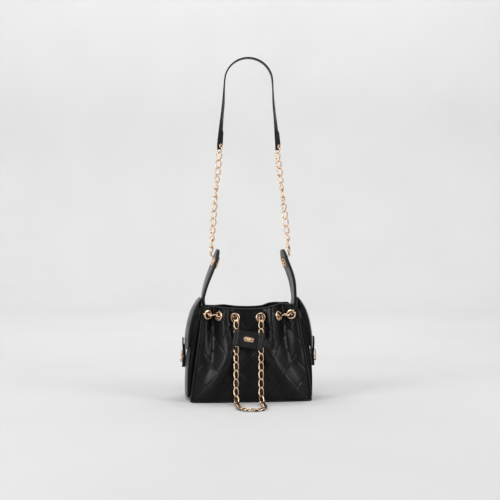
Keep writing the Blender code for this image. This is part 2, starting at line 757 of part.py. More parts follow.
def make_buckle(word, side):
    """Ring round the front of the belt with a middle bar behind it, and the prong through the belt's slot."""
    outline = []
    corner = 2.5 * MM
    for turn_y, turn_z, start in ((1, 1, 0), (-1, 1, 90), (-1, -1, 180), (1, -1, 270)):
        for step in range(4):
            angle = math.radians(start + 30 * step)
            y = turn_y * (BUCKLE_HALF.y - corner) + corner * math.cos(angle)
            z = turn_z * (BUCKLE_HALF.z - corner) + corner * math.sin(angle)
            outline.append(Vector((side * buckle_frame_x(), y, BUCKLE_Z + z)))
    ring = tube(f"buckle_{word}", outline, BUCKLE_WIRE, GOLD, cyclic=True, resolution=1)
    inner_y = BELT_WIDTH / 2 + 0.4 * MM
    reach = BUCKLE_HALF.y
    bar_line = [(buckle_frame_x(), -reach), (buckle_bar_x(), -inner_y), (buckle_bar_x(), inner_y)]
    bar_line += [(buckle_frame_x(), reach)]
    bar = tube(
        f"bar_{word}",
        [Vector((side * x, y, BUCKLE_Z)) for x, y in bar_line],
        BUCKLE_WIRE * 0.9,
        GOLD,
        resolution=1,
        collection=CUTTERS,
    )
    ring, bar = as_mesh(ring), as_mesh(bar)
    boolean(ring, hide_helper(bar), "UNION")
    prong_line = []
    wrap = BUCKLE_WIRE + GAP + 0.85 * MM
    for step in range(5):
        angle = math.radians(60 - 15 * step)
        prong_line.append(
            Vector((side * (buckle_bar_x() + wrap * math.cos(angle)), 0, BUCKLE_Z + wrap * math.sin(angle)))
        )
    tip_x = buckle_frame_x() + BUCKLE_WIRE + GAP + 0.85 * MM
    prong_line.append(Vector((side * (tip_x - 0.6 * MM), 0, BUCKLE_Z - 5.0 * MM)))
    prong_line.append(Vector((side * tip_x, 0, BUCKLE_Z - BUCKLE_HALF.z - 1.2 * MM)))
    tube(f"prong_{word}", prong_line, 0.8 * MM, GOLD, resolution=1)


def make_snap(word, side):
    """Magnetic snap: one disc under the flap, one on the pocket."""
    z = 106 * MM
    flap_inner = 118.1 * MM - FLAP_THICKNESS - 1.0 * MM
    pocket_face = table(POCKET_OUTER, z - SNAP_RADIUS) + GAP
    thickness = (flap_inner - pocket_face - GAP) / 2
    for part, middle in (("flap", flap_inner - thickness / 2), ("pocket", pocket_face + thickness / 2)):
        at = frame_on(Vector((side * middle, 0, z)), Vector((side, 0, 0)))
        cylinder(f"snap_{part}_{word}", SNAP_RADIUS, thickness, at, STEEL, 18)


def make_sides():
    for word, side in (("left", -1), ("right", 1)):
        make_gusset(f"gusset_{word}", side)
        make_pocket(f"pocket_{word}", side)
        make_flap(word, side)
        make_belt(f"belt_{word}", side)
        make_buckle(word, side)
        make_snap(word, side)


clear_scene()
BAG = make_collection("bucket_bag")
CUTTERS = make_collection("cutters")
LEATHER = make_material("black_leather", (0.012, 0.012, 0.013), 0.42)
LINING = make_material("lining_fabric", (0.03, 0.028, 0.027), 0.85)
BOARD = make_material("base_board", (0.08, 0.07, 0.06), 0.8)
GOLD = make_material("gold_metal", (0.86, 0.62, 0.36), 0.2, 1.0)
STEEL = make_material("snap_steel", (0.6, 0.6, 0.6), 0.3, 1.0)
CHAIN = make_material("woven_chain", (0.45, 0.33, 0.2), 0.35, 0.6)

make_base()
make_panel("front_panel", -1)
make_panel("back_panel", 1)
make_lining()
make_panel_eyelets()
make_sides()
make_tabs()
make_strap()
make_drawstring()
make_slider()
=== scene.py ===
"""The looks of a quilted black leather bucket bag with a woven-chain drawstring and a chain shoulder strap.

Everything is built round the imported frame, in its coordinates and in metres. +X is to the right, -Y to the
front and +Z up. The surface of the body follows the same formulas as the frame's panels, with the quilting,
the gathers' folds, the stitching and the chains' links added.
"""

from math import copysign, cos, exp, hypot, pi, radians, sin, sqrt

import bmesh
import bpy
import numpy as np
from mathutils import Matrix, Vector, noise


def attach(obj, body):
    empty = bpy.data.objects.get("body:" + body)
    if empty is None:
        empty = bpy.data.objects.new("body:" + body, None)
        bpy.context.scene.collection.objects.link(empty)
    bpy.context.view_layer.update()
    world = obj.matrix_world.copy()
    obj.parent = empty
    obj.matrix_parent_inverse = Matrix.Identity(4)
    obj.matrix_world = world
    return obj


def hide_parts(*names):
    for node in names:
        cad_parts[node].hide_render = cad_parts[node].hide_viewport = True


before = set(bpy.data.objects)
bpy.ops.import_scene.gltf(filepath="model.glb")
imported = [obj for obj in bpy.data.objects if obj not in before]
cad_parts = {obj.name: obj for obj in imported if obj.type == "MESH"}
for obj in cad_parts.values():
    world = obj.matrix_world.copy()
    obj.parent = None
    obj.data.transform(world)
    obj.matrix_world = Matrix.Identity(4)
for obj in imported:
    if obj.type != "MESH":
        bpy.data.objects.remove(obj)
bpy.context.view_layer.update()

MM = 0.001
UP = Vector((0, 0, 1))
BACK = Vector((0, 1, 0))
FRONT = Vector((0, -1, 0))
RIGHT = Vector((1, 0, 0))
SIDES = (("left", -1), ("right", 1))
FACES = (("front", -1), ("back", 1))

# ---- the frame's driving dimensions, repeated ----
GAP = 0.3 * MM
PANEL = 2.4 * MM
BASE_HALF_WIDTH = 107 * MM
RIM_Z = 168 * MM
RIM_LIFT = 5 * MM
CINCH_X = -6 * MM
EYELET_HOLE = 5.3 * MM
EYELET_RIM = 9.0 * MM
EYELETS = ((-0.88, 155), (-0.62, 153), (-0.27, 150), (0.27, 150), (0.62, 153), (0.88, 155))
LEG_SPREAD = 22.3 * MM
LEG_TOP = Vector((-5.4, -54, 136)) * MM
LEG_FOOT = Vector((-7.4, -71, 22)) * MM
LOOP_REACH_Y = -151 * MM
TAB_THICKNESS = 5.6 * MM
TAB_TWIST = radians(8)
TAB_EYELET_Z = 250 * MM
TAB_LEAN = 3 * MM
STRAP_WIDTH = 12 * MM
STRAP_THICKNESS = 2.4 * MM
STRAP_END_X = 53.6 * MM
STRAP_HOLE_Z = 462 * MM
STRAP_SHOULDER_Z = 582 * MM
STRAP_TOP_RADIUS = 44.5 * MM
POCKET_HALF_WIDTH = 31 * MM
POCKET_WALL = 1.2 * MM
POCKET_BOTTOM_Z = 6 * MM
POCKET_TOP_Z = 148 * MM
SIDE_CURVE = 5.2
FLAP_HALF_WIDTH = 33 * MM
FLAP_THICKNESS = 2.6 * MM
STRIP_HALF_WIDTH = 20 * MM
BELT_WIDTH = 15 * MM
BELT_THICKNESS = 2.4 * MM
BUCKLE_Z = 78 * MM
BUCKLE_HALF_Y = 10.2 * MM
BUCKLE_HALF_Z = 9.5 * MM
BUCKLE_WIRE = 1.1 * MM
LINING_TOP_Z = 126 * MM
LINING_INSET = 4.2 * MM

SEAM_HALF_WIDTH = ((0, 107), (30, 104), (62, 99.5), (90, 95.5), (125, 90.5), (150, 87), (170, 84))
GUSSET_BULGE = ((0, 1.5), (30, 2), (62, 2.5), (105, 2.5), (146, 3), (170, 4))
FRONT_DEPTH = ((0, 57), (30, 58.5), (60, 56.5), (100, 49.5), (130, 42.5), (150, 38.5), (170, 36))
POCKET_OUTER = ((5, 117.5), (40, 118), (78, 115.5), (105, 110.5), (130, 106), (150, 100))
TAB_PATH = ((84.6, 136), (83.6, 152), (82.8, 168), (84.4, 180), (83.6, 191), (79, 214), (71.5, 236))
TAB_PATH += ((65, 253), (59, 273))
TAB_HALF_WIDTH = ((136, 18), (190, 18), (246, 17), (261, 15), (269, 10.5), (273, 5))
FLAP_PATH = ((92.5, 184), (98.3, 177), (106.5, 163), (113.2, 143), (117.2, 120), (118.2, 104), (118.0, 92))
STRIP_PATH = ((95.0, 152), (93.4, 160), (91.9, 168), (90.9, 176), (90.6, 181))
BELT_PATH = ((121.0, 112), (121.3, 100), (120.6, 88), (120.4, 78), (120.8, 68), (121.8, 58))


# ---- the looks' own dimensions ----
QUILT_HALF_X = BASE_HALF_WIDTH / 5  # half a diamond's width, measured on the flat leather
QUILT_HALF_Z = 25 * MM
QUILT_Z = 79.5 * MM  # height of a crossing on the middle line
PUFF = 0.35 * MM
GROOVE = 0.5 * MM
GROOVE_WIDTH = 1.0 * MM
PINNED = 1.3 * MM  # the leather this near to a stitch line stays put while the padding swells
SHELL_LOW = 1.2 * MM  # lowest line of the panels and gussets
SHELL = 1.8 * MM  # thickness of their leather
PIPING = 1.8 * MM  # radius
# Tension folds of the front: points (x, z), height and half width, all in millimetres.
FRONT_FOLDS = (
    (((-24, 128), (-31, 104), (-54, 60), (-92, -6)), 12.5, 13.0),
    (((14, 122), (22, 98), (52, 54), (98, -6)), 12.5, 13.0),
    (((-40, 166), (-37, 140), (-42, 96)), 4.0, 8.0),
    (((30, 166), (33, 140), (40, 92)), 4.0, 8.0),
    (((-60, 150), (-66, 110), (-74, 60)), -4.5, 8.0),
    (((56, 150), (60, 110), (74, 62)), -4.5, 8.0),
    (((-6, 128), (-7, 90), (-7, 20)), -4.0, 18.0),
)
BACK_FOLDS = (
    (((-20, 125), (-40, 90), (-92, 12)), 6.0, 11.0),
    (((22, 122), (38, 88), (92, 12)), 6.0, 11.0),
    (((-60, 150), (-66, 110), (-74, 60)), -4.0, 8.0),
    (((56, 150), (60, 110), (74, 62)), -4.0, 8.0),
)
LINK_COUNT = 14  # shoulder chain
LINK_WIDTH = 12 * MM
LINK_WIRE = 2.5 * MM
LINK_TURN = radians(1.84)  # a link's turn for each millimetre it lies below LINK_FLAT
LINK_FLAT = 429
WOVEN_PITCH = 14.6 * MM  # drawstring chain
WOVEN_WIDTH = 9.9 * MM
WOVEN_WIRE = 2.3 * MM
LACE_WIDTH = 5.0 * MM
LACE_THICKNESS = 2.6 * MM
SLIDER_LENGTH = 30 * MM
SLIDER_TILT = radians(10)
SLEEVE_HALF_WIDTH = 6.1 * MM
SLEEVE_HALF_DEPTH = 5.2 * MM
PLATE_HALF_X = 9.0 * MM
PLATE_HALF_Y = 4.4 * MM
END_RING = 5.5  # millimetres
# Sections: (height, inset) of the base and the slider's plate, (share along, lift, size) of a stitch.
BASE_EDGE = ((0.0, 2.0), (0.3, 0.8), (1.2, 0.4), (2.1, 0.8), (2.4, 2.0))
PLATE_EDGE = ((0.9, 0.5), (1.2, 0.1), (2.2, 0.0), (2.75, 0.35), (2.9, 1.0), (2.55, 1.6))
STITCH = ((0.06, -0.7, 0.5), (0.22, 0.1, 0.95), (0.72, 0.1, 0.95), (0.88, -0.7, 0.5))


# ---- numbers and lines ----
def even(low, high, count):
    """The values from low to high in count equal steps, both ends included."""
    return [low + (high - low) * i / count for i in range(count + 1)]


def turns(count):
    """Angles once round, in count steps."""
    return [2 * pi * i / count for i in range(count)]


def squared(value, power):
    """A power that keeps the sign."""
    return copysign(abs(value) ** power, value)


def polar(radius, angle, z):
    return Vector((radius * cos(angle), radius * sin(angle), z))


def table_value(pairs, at):
    """Reads a profile given in millimetres at a height in metres, on a smooth curve through its points."""
    at = at / MM
    if at <= pairs[0][0]:
        return pairs[0][1] * MM
    if at >= pairs[-1][0]:
        return pairs[-1][1] * MM
    slopes = [(b - a) / (high - low) for (low, a), (high, b) in zip(pairs, pairs[1:])]
    i = next(k for k in range(len(slopes)) if at <= pairs[k + 1][0])
    (low, a), (high, b) = pairs[i], pairs[i + 1]
    start = (slopes[max(i - 1, 0)] + slopes[i]) / 2
    end = (slopes[i] + slopes[min(i + 1, len(slopes) - 1)]) / 2
    width = high - low
    t = (at - low) / width
    rise = (2 * t**3 - 3 * t**2 + 1) * a + (3 * t**2 - 2 * t**3) * b
    return (rise + width * ((t**3 - 2 * t**2 + t) * start + (t**3 - t**2) * end)) * MM


def smooth(low, high, at):
    t = min(1.0, max(0.0, (at - low) / (high - low)))
    return t * t * (3 - 2 * t)


def spline(points, steps):
    """Points on a smooth Catmull-Rom curve through the given ones, steps to each stretch."""
    ends = [points[0] * 2 - points[1], *points, points[-1] * 2 - points[-2]]
    line = []
    for a, b, c, d in zip(ends, ends[1:], ends[2:], ends[3:]):
        for i in range(steps):
            t = i / steps
            bend, twist = 2 * a - 5 * b + 4 * c - d, 3 * b - a - 3 * c + d
            line.append(0.5 * (2 * b + (c - a) * t + bend * t**2 + twist * t**3))
    return line + [points[-1].copy()]


def side_path(pairs, steps):
    """A profile of (x, height) pairs in millimetres as a smooth line in the XZ plane."""
    return spline([Vector((x, 0, z)) * MM for x, z in pairs], steps)


def spaced(points, step):
    """The same line with points an even step apart, and the exact step used."""
    lengths = [0.0]
    for a, b in zip(points, points[1:]):
        lengths.append(lengths[-1] + (b - a).length)
    count = max(1, round(lengths[-1] / step))
    made, k = [], 0
    for i in range(count + 1):
        at = lengths[-1] * i / count
        while k < len(points) - 2 and lengths[k + 1] < at:
            k += 1
        span = lengths[k + 1] - lengths[k]
        made.append(points[k].lerp(points[k + 1], (at - lengths[k]) / span if span else 0))
    return made, lengths[-1] / count


def frames_along(points, normal, closed=False):
    """(point, tangent, normal, binormal) along a line, with the normal carried along without twisting."""
    count = len(points)
    made = []
    for i, p in enumerate(points):
        before = points[i - 1] if closed or i else p
        after = points[(i + 1) % count] if closed or i < count - 1 else p
        tangent = (after - before).normalized()
        normal = (normal - tangent * normal.dot(tangent)).normalized()
        made.append((p, tangent, normal.copy(), tangent.cross(normal)))
    return made


def row_normals(rows):
    """Normals of a grid of points, from its rows and columns."""
    made = []
    last_row, last = len(rows) - 1, len(rows[0]) - 1
    for r, row in enumerate(rows):
        line = []
        for c in range(last + 1):
            across = row[min(c + 1, last)] - row[max(c - 1, 0)]
            along = rows[min(r + 1, last_row)][c] - rows[max(r - 1, 0)][c]
            line.append(across.cross(along).normalized())
        made.append(line)
    return made


def grid_faces(rows, columns):
    """The faces of a sheet whose points come row by row."""
    width = columns + 1
    corners = [r * width + c for r in range(rows) for c in range(columns)]
    return [(a, a + 1, a + width + 1, a + width) for a in corners]


def oval(along_normal, along_binormal, sides=12, power=1.0):
    """An ellipse as a section; a power under 1 squares it off."""
    return [
        (squared(cos(a), power) * along_normal, squared(sin(a), power) * along_binormal)
        for a in turns(sides)
    ]


def circle(radius, sides=10):
    return oval(radius, radius, sides)


def frame_on(centre, normal):
    z = normal.normalized()
    x = UP.cross(z).normalized()
    return Matrix.Translation(centre) @ Matrix((x, z.cross(x), z)).transposed().to_4x4()


# ---- pieces ----
def new_object(name, data):
    obj = bpy.data.objects.new(name, data)
    bpy.context.scene.collection.objects.link(obj)
    return obj


def add_piece(name, mesh, material, body, *nodes, sharp=None):
    """Makes a mesh a piece of a body, with its material, in place of the given frame nodes."""
    obj = new_object(name, mesh)
    mesh.materials.append(material)
    if sharp:
        mesh.set_sharp_from_angle(angle=radians(sharp))
    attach(obj, body)
    if nodes:
        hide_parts(*nodes)
    return obj


def outward(mesh):
    """Turns a closed mesh's faces to point out."""
    bm = bmesh.new()
    bm.from_mesh(mesh)
    bmesh.ops.recalc_face_normals(bm, faces=bm.faces)
    bm.to_mesh(mesh)
    bm.free()
    mesh.shade_smooth()
    return mesh


class Build:
    """Collects vertices and faces of one mesh."""

    def __init__(self, points=(), faces=()):
        self.points = list(points)
        self.faces = list(faces)

    def rings(self, rings, closed=False, caps=True):
        """Skins rings of equal length; a closed run joins its ends, an open one is capped."""
        start, size = len(self.points), len(rings[0])
        for ring in rings:
            self.points.extend(ring)
        count = len(rings)
        for r in range(count if closed else count - 1):
            low, high = start + r * size, start + (r + 1) % count * size
            for i in range(size):
                j = (i + 1) % size
                self.faces.append((low + i, low + j, high + j, high + i))
        if caps and not closed:
            self.faces.append(tuple(start + i for i in reversed(range(size))))
            self.faces.append(tuple(start + (count - 1) * size + i for i in range(size)))
        return self

    def sweep(self, line, section, closed=False):
        """Sweeps a section of (along normal, along binormal) pairs down frames from frames_along."""
        return self.rings([[p + n * u + b * v for u, v in section] for p, _, n, b in line], closed)

    def join(self, other):
        offset = len(self.points)
        self.points.extend(other.points)
        self.faces.extend(tuple(i + offset for i in f) for f in other.faces)

    def mesh(self, name):
        mesh = bpy.data.meshes.new(name)
        mesh.from_pydata([tuple(p) for p in self.points], [], self.faces)
        mesh.update()
        mesh.shade_smooth()
        return mesh

    def piece(self, name, material, body, *nodes, sharp=None):
        """Adds a closed mesh as a piece."""
        return add_piece(name, outward(self.mesh(name)), material, body, *nodes, sharp=sharp)


def add_cord(name, points, normal, section, material, body="root", *nodes, closed=False):
    """A piece with the same section all along a line."""
    line = frames_along(points, normal, closed)
    return Build().sweep(line, section, closed).piece(name, material, body, *nodes)


def slab(rows, thickness, rounding=4):
    """A sheet of rows of points with a thickness and half-round edges, as one closed mesh.

    Each row becomes a ring: across the outer face, round an edge, back across the inner face and round
    the other edge.
    """
    half = thickness / 2
    angles = even(0, pi, rounding)[1:-1]
    rings = []
    for row, normals in zip(rows, row_normals(rows)):
        out = (row[-1] - row[-2]).normalized()
        ring = [p + n * half for p, n in zip(row, normals)]
        ring += [row[-1] + normals[-1] * half * cos(a) + out * half * sin(a) for a in angles]
        out = (row[0] - row[1]).normalized()
        ring += [p - n * half for p, n in zip(reversed(row), reversed(normals))]
        ring += [row[0] - normals[0] * half * cos(a) + out * half * sin(a) for a in angles]
        rings.append(ring)
    return Build().rings(rings)


def seam(rows, normals, cells, half, face=1):
    """(point, normal) at each (row, column) of one face of a slab, for the stitches."""
    made = []
    for r, c in cells:
        normal = normals[r][c] * face
        made.append((rows[r][c] + normal * half, normal))
    return made


def add_stitches(name, runs, body="root", pitch=3.0 * MM, radius=0.24 * MM, material=None):
    """Thread along runs of (point, normal): each stitch is a short spindle that dips into the leather."""
    build = Build()
    for run in runs:
        if len(run) < 2:
            continue
        places, _ = spaced([p for p, _ in run], pitch)
        for a, b in zip(places, places[1:]):
            normal = min(run, key=lambda item: (item[0] - a).length_squared)[1]
            side = (b - a).normalized().cross(normal).normalized()
            rings = []
            for t, lift, size in STITCH:
                centre = a.lerp(b, t) + normal * radius * lift
                spokes = [normal * cos(angle) + side * sin(angle) for angle in turns(5)]
                rings.append([centre + spoke * radius * size for spoke in spokes])
            build.rings(rings)
    add_piece(name, build.mesh(name), material or THREAD, body)


def thicken(obj, thickness, offset=-1):
    solid = obj.modifiers.new("thickness", "SOLIDIFY")
    solid.thickness = thickness
    solid.offset = offset


def cut_away(obj, matrix):
    """Cuts the object made last, put where the matrix says, out of a piece, with a Boolean."""
    cutter = bpy.context.object
    cutter.matrix_world = matrix
    bpy.context.view_layer.update()
    modifier = obj.modifiers.new("cut", "BOOLEAN")
    modifier.operation = "DIFFERENCE"
    modifier.object = cutter
    cut = bpy.data.meshes.new_from_object(obj.evaluated_get(bpy.context.evaluated_depsgraph_get()))
    obj.modifiers.remove(modifier)
    bpy.data.objects.remove(cutter)
    obj.data = cut
    cut.shade_smooth()
    cut.set_sharp_from_angle(angle=radians(50))


def cut_round_hole(obj, centre, normal, radius):
    bpy.ops.mesh.primitive_cylinder_add(vertices=32, radius=radius, depth=30 * MM)
    cut_away(obj, frame_on(centre, normal))


# ---- materials ----
def new_material(name, colour, roughness, metallic=0.0):
    material = bpy.data.materials.new(name)
    material.use_nodes = True
    shader = material.node_tree.nodes["Principled BSDF"]
    shader.inputs["Base Color"].default_value = (*colour, 1)
    shader.inputs["Roughness"].default_value = roughness
    shader.inputs["Metallic"].default_value = metallic
    return material, material.node_tree, shader


def add_node(tree, kind, **values):
    node = tree.nodes.new(kind)
    for name, value in values.items():
        if name in node.inputs:
            node.inputs[name].default_value = value
        else:
            setattr(node, name.lower(), value)
    return node


def texture(tree, kind, scale, **values):
    """A texture node on the object's own coordinates."""
    where = tree.nodes.get("Texture Coordinate") or tree.nodes.new("ShaderNodeTexCoord")
    node = add_node(tree, kind, Scale=scale, **values)
    tree.links.new(where.outputs["Object"], node.inputs["Vector"])
    return node


def spread(tree, source, low, high, socket, start=0.3, end=0.7):
    """Drives a socket of the shader with a node's grey, mapped to between two colours or two greys."""
    node = tree.nodes.new("ShaderNodeValToRGB")
    node.color_ramp.elements[0].position = start
    node.color_ramp.elements[1].position = end
    for element, value in zip(node.color_ramp.elements, (low, high)):
        element.color = (*value, 1) if hasattr(value, "__len__") else (value, value, value, 1)
    tree.links.new(source.outputs[0], node.inputs["Fac"])
    tree.links.new(node.outputs["Color"], tree.nodes["Principled BSDF"].inputs[socket])


def add_bumps(tree, *bumps):
    """Chains bump nodes: (node for the height, strength, distance in metres)."""
    normal = None
    for height, strength, distance in bumps:
        bump = add_node(tree, "ShaderNodeBump", Strength=strength, Distance=distance)
        tree.links.new(height.outputs[0], bump.inputs["Height"])
        if normal:
            tree.links.new(normal, bump.inputs["Normal"])
        normal = bump.outputs["Normal"]
    tree.links.new(normal, tree.nodes["Principled BSDF"].inputs["Normal"])


def leather_material(name, dark, light, rough_low, rough_high, grain=1.0):
    material, tree, shader = new_material(name, dark, rough_low)
    tone = texture(tree, "ShaderNodeTexNoise", 18, Detail=4.0)
    spread(tree, tone, dark, light, "Base Color")
    polish = texture(tree, "ShaderNodeTexNoise", 46, Detail=5.0)
    spread(tree, polish, rough_low, rough_high, "Roughness")
    pores = texture(tree, "ShaderNodeTexVoronoi", 1500)
    crease = texture(tree, "ShaderNodeTexNoise", 420, Detail=3.0)
    soft = texture(tree, "ShaderNodeTexNoise", 55, Detail=2.0)
    add_bumps(
        tree,
        (soft, 0.14 * grain, 0.9 * MM),
        (crease, 0.16 * grain, 0.2 * MM),
        (pores, 0.16 * grain, 0.1 * MM),
    )
    shader.inputs["Specular IOR Level"].default_value = 0.22
    return material


def metal_material(name, colour, warm, rough_low, rough_high):
    material, tree, shader = new_material(name, colour, rough_low, 1.0)
    tone = texture(tree, "ShaderNodeTexNoise", 90, Detail=3.0)
    spread(tree, tone, colour, warm, "Base Color")
    scuffs = texture(tree, "ShaderNodeTexNoise", 700, Detail=6.0)
    spread(tree, scuffs, rough_low, rough_high, "Roughness")
    add_bumps(tree, (scuffs, 0.05, 0.1 * MM))
    return material


def fabric_material(name, dark, light):
    """A plain weave: two crossed sets of fine bands raise and shade the threads."""
    material, tree, shader = new_material(name, dark, 0.85)
    bands = []
    for direction in ("X", "Z"):
        wave = texture(tree, "ShaderNodeTexWave", 380, Distortion=0.6, Detail=1.0)
        wave.bands_direction = direction
        bands.append(wave.outputs["Fac"])
    mix = tree.nodes.new("ShaderNodeMath")
    mix.operation = "MULTIPLY"
    tree.links.new(bands[0], mix.inputs[0])
    tree.links.new(bands[1], mix.inputs[1])
    spread(tree, mix, dark, light, "Base Color", 0.0, 1.0)
    add_bumps(tree, (mix, 0.5, 0.2 * MM))
    shader.inputs["Sheen Weight"].default_value = 0.3
    return material


def board_material(name):
    material, tree, shader = new_material(name, (0.08, 0.07, 0.06), 0.8)
    fibre = texture(tree, "ShaderNodeTexNoise", 260, Detail=6.0)
    spread(tree, fibre, (0.06, 0.05, 0.04), (0.12, 0.10, 0.08), "Base Color")
    add_bumps(tree, (fibre, 0.3, 0.3 * MM))
    return material


LEATHER = leather_material("black leather", (0.0022, 0.0022, 0.0025), (0.0042, 0.0041, 0.0045), 0.32, 0.42)
SLIM_LEATHER = leather_material(
    "strap leather", (0.004, 0.004, 0.0044), (0.007, 0.0068, 0.007), 0.27, 0.37, 0.6
)
SIDE_LEATHER = leather_material(
    "side leather", (0.005, 0.005, 0.0053), (0.009, 0.0088, 0.009), 0.3, 0.42, 1.3
)
SIDE_LEATHER.node_tree.nodes["Principled BSDF"].inputs["Sheen Weight"].default_value = 0.3
SIDE_LEATHER.node_tree.nodes["Principled BSDF"].inputs["Sheen Roughness"].default_value = 0.35
LACE = leather_material("lace leather", (0.003, 0.003, 0.0033), (0.005, 0.005, 0.0054), 0.3, 0.42, 0.5)
GOLD = metal_material("rose gold plating", (0.72, 0.49, 0.32), (0.82, 0.59, 0.41), 0.16, 0.28)
STEEL = metal_material("snap steel", (0.55, 0.55, 0.56), (0.64, 0.64, 0.65), 0.25, 0.4)
THREAD = leather_material("black thread", (0.012, 0.012, 0.013), (0.02, 0.02, 0.021), 0.5, 0.65)
QUILT_THREAD = leather_material("quilting thread", (0.002, 0.002, 0.002), (0.004, 0.004, 0.004), 0.75, 0.9)
SLIDER_LEATHER = leather_material(
    "slider leather", (0.009, 0.009, 0.010), (0.014, 0.014, 0.0155), 0.3, 0.42, 0.7
)
LINING = fabric_material("lining weave", (0.018, 0.017, 0.016), (0.05, 0.047, 0.044))
BOARD = board_material("stiffener board")


# ---- the body's surface ----
def pleat(share):
    s = abs(share)
    return 0.9 * exp(-(((s - 0.49) / 0.115) ** 2)) - exp(-(((s - 0.76) / 0.10) ** 2))


def rim_height(share):
    dip = 3 * MM * cos(min(1.0, abs(share) / 0.5) * pi / 2)
    return RIM_Z - dip + RIM_LIFT * smooth(0.3, 0.7, share) * (1 - smooth(0.9, 1.0, share))


def panel_point(share, z, side):
    gathered = smooth(45 * MM, 148 * MM, z)
    x = share * table_value(SEAM_HALF_WIDTH, z)
    if side < 0:
        x += CINCH_X * gathered * (1 - share**2)
    depth = table_value(FRONT_DEPTH, z) * (1 - 0.11 * abs(share) ** 5)
    depth += 10.5 * MM * gathered * pleat(share)
    return Vector((x, side * depth, z))


def gusset_point(share, z, side):
    seam = panel_point(1.0, z, 1)
    x = table_value(SEAM_HALF_WIDTH, z) + table_value(GUSSET_BULGE, z) * (1 - abs(share) ** 2.4)
    return Vector((side * x, seam.y * share, z))


def panel_normal(share, z, side):
    step = 0.01
    across = panel_point(share + step, z, side) - panel_point(share - step, z, side)
    up = panel_point(share, z + MM, side) - panel_point(share, z - MM, side)
    normal = across.cross(up).normalized()
    return normal if normal.y * side > 0 else -normal


def eyelet_places(side):
    return [(panel_point(s, z * MM, side), panel_normal(s, z * MM, side)) for s, z in EYELETS]


def flattened(point, places, flat, blend):
    for centre, normal in places:
        off = point - centre
        height = off.dot(normal)
        across = (off - normal * height).length
        if across < blend and abs(height) < blend:
            point = point - normal * height * (1 - smooth(flat, blend, across))
    return point


def fold_height(x, z, folds):
    """How far the folds lift the leather at a place on a panel."""
    total = 0.0
    for path, height, width in folds:
        nearest, where = 1e9, 0.0
        spans = len(path) - 1
        for k, ((ax, az), (bx, bz)) in enumerate(zip(path, path[1:])):
            dx, dz = bx - ax, bz - az
            t = ((x / MM - ax) * dx + (z / MM - az) * dz) / (dx * dx + dz * dz)
            t = min(1.0, max(0.0, t))
            gap = hypot(x / MM - ax - dx * t, z / MM - az - dz * t)
            if gap < nearest:
                nearest, where = gap, (k + t) / spans
        if nearest < 3.2 * width:
            ends = sin(pi * where**1.3) ** 0.7
            total += height * exp(-((nearest / width) ** 2)) * ends
    return total * MM


def quilt_place(share, z):
    """Diagonal coordinates on the flat leather: a stitch line runs wherever one of them is whole."""
    a = share * BASE_HALF_WIDTH / QUILT_HALF_X
    b = (z - QUILT_Z) / QUILT_HALF_Z
    return (a + b) / 2, (a - b) / 2


def line_gap(share, z):
    """Distance on the flat leather to the nearest stitch line."""
    reach = 2 / hypot(1 / QUILT_HALF_X, 1 / QUILT_HALF_Z)
    return min(abs(k - round(k)) for k in quilt_place(share, z)) * reach


def swell(obj, pinned, pressure, steps, most):
    """Blows a sheet out between its pinned vertices with a cloth simulation, and keeps the result."""
    mesh = obj.data
    before = np.empty(len(mesh.vertices) * 3)
    mesh.vertices.foreach_get("co", before)
    group = obj.vertex_groups.new(name="pinned")
    group.add(pinned, 1.0, "REPLACE")
    modifier = obj.modifiers.new("swell", "CLOTH")
    settings = modifier.settings
    settings.quality = 4
    settings.mass = 0.3
    settings.tension_stiffness = 25
    settings.compression_stiffness = 25
    settings.shear_stiffness = 12
    settings.bending_stiffness = 2.0
    settings.use_pressure = True
    settings.uniform_pressure_force = pressure
    settings.vertex_group_mass = "pinned"
    settings.effector_weights.gravity = 0
    modifier.collision_settings.use_collision = False
    modifier.point_cache.frame_end = steps
    for step in range(1, steps + 1):
        bpy.context.scene.frame_set(step)
    graph = bpy.context.evaluated_depsgraph_get()
    after = np.empty_like(before)
    obj.evaluated_get(graph).data.vertices.foreach_get("co", after)
    moved = (after - before).reshape(-1, 3)
    size = np.linalg.norm(moved, axis=1, keepdims=True)
    moved *= np.minimum(1.0, most / np.maximum(size, 1e-9))
    obj.modifiers.remove(modifier)
    obj.vertex_groups.remove(group)
    bpy.context.scene.frame_set(1)
    mesh.vertices.foreach_set("co", before + moved.reshape(-1))
    mesh.update()


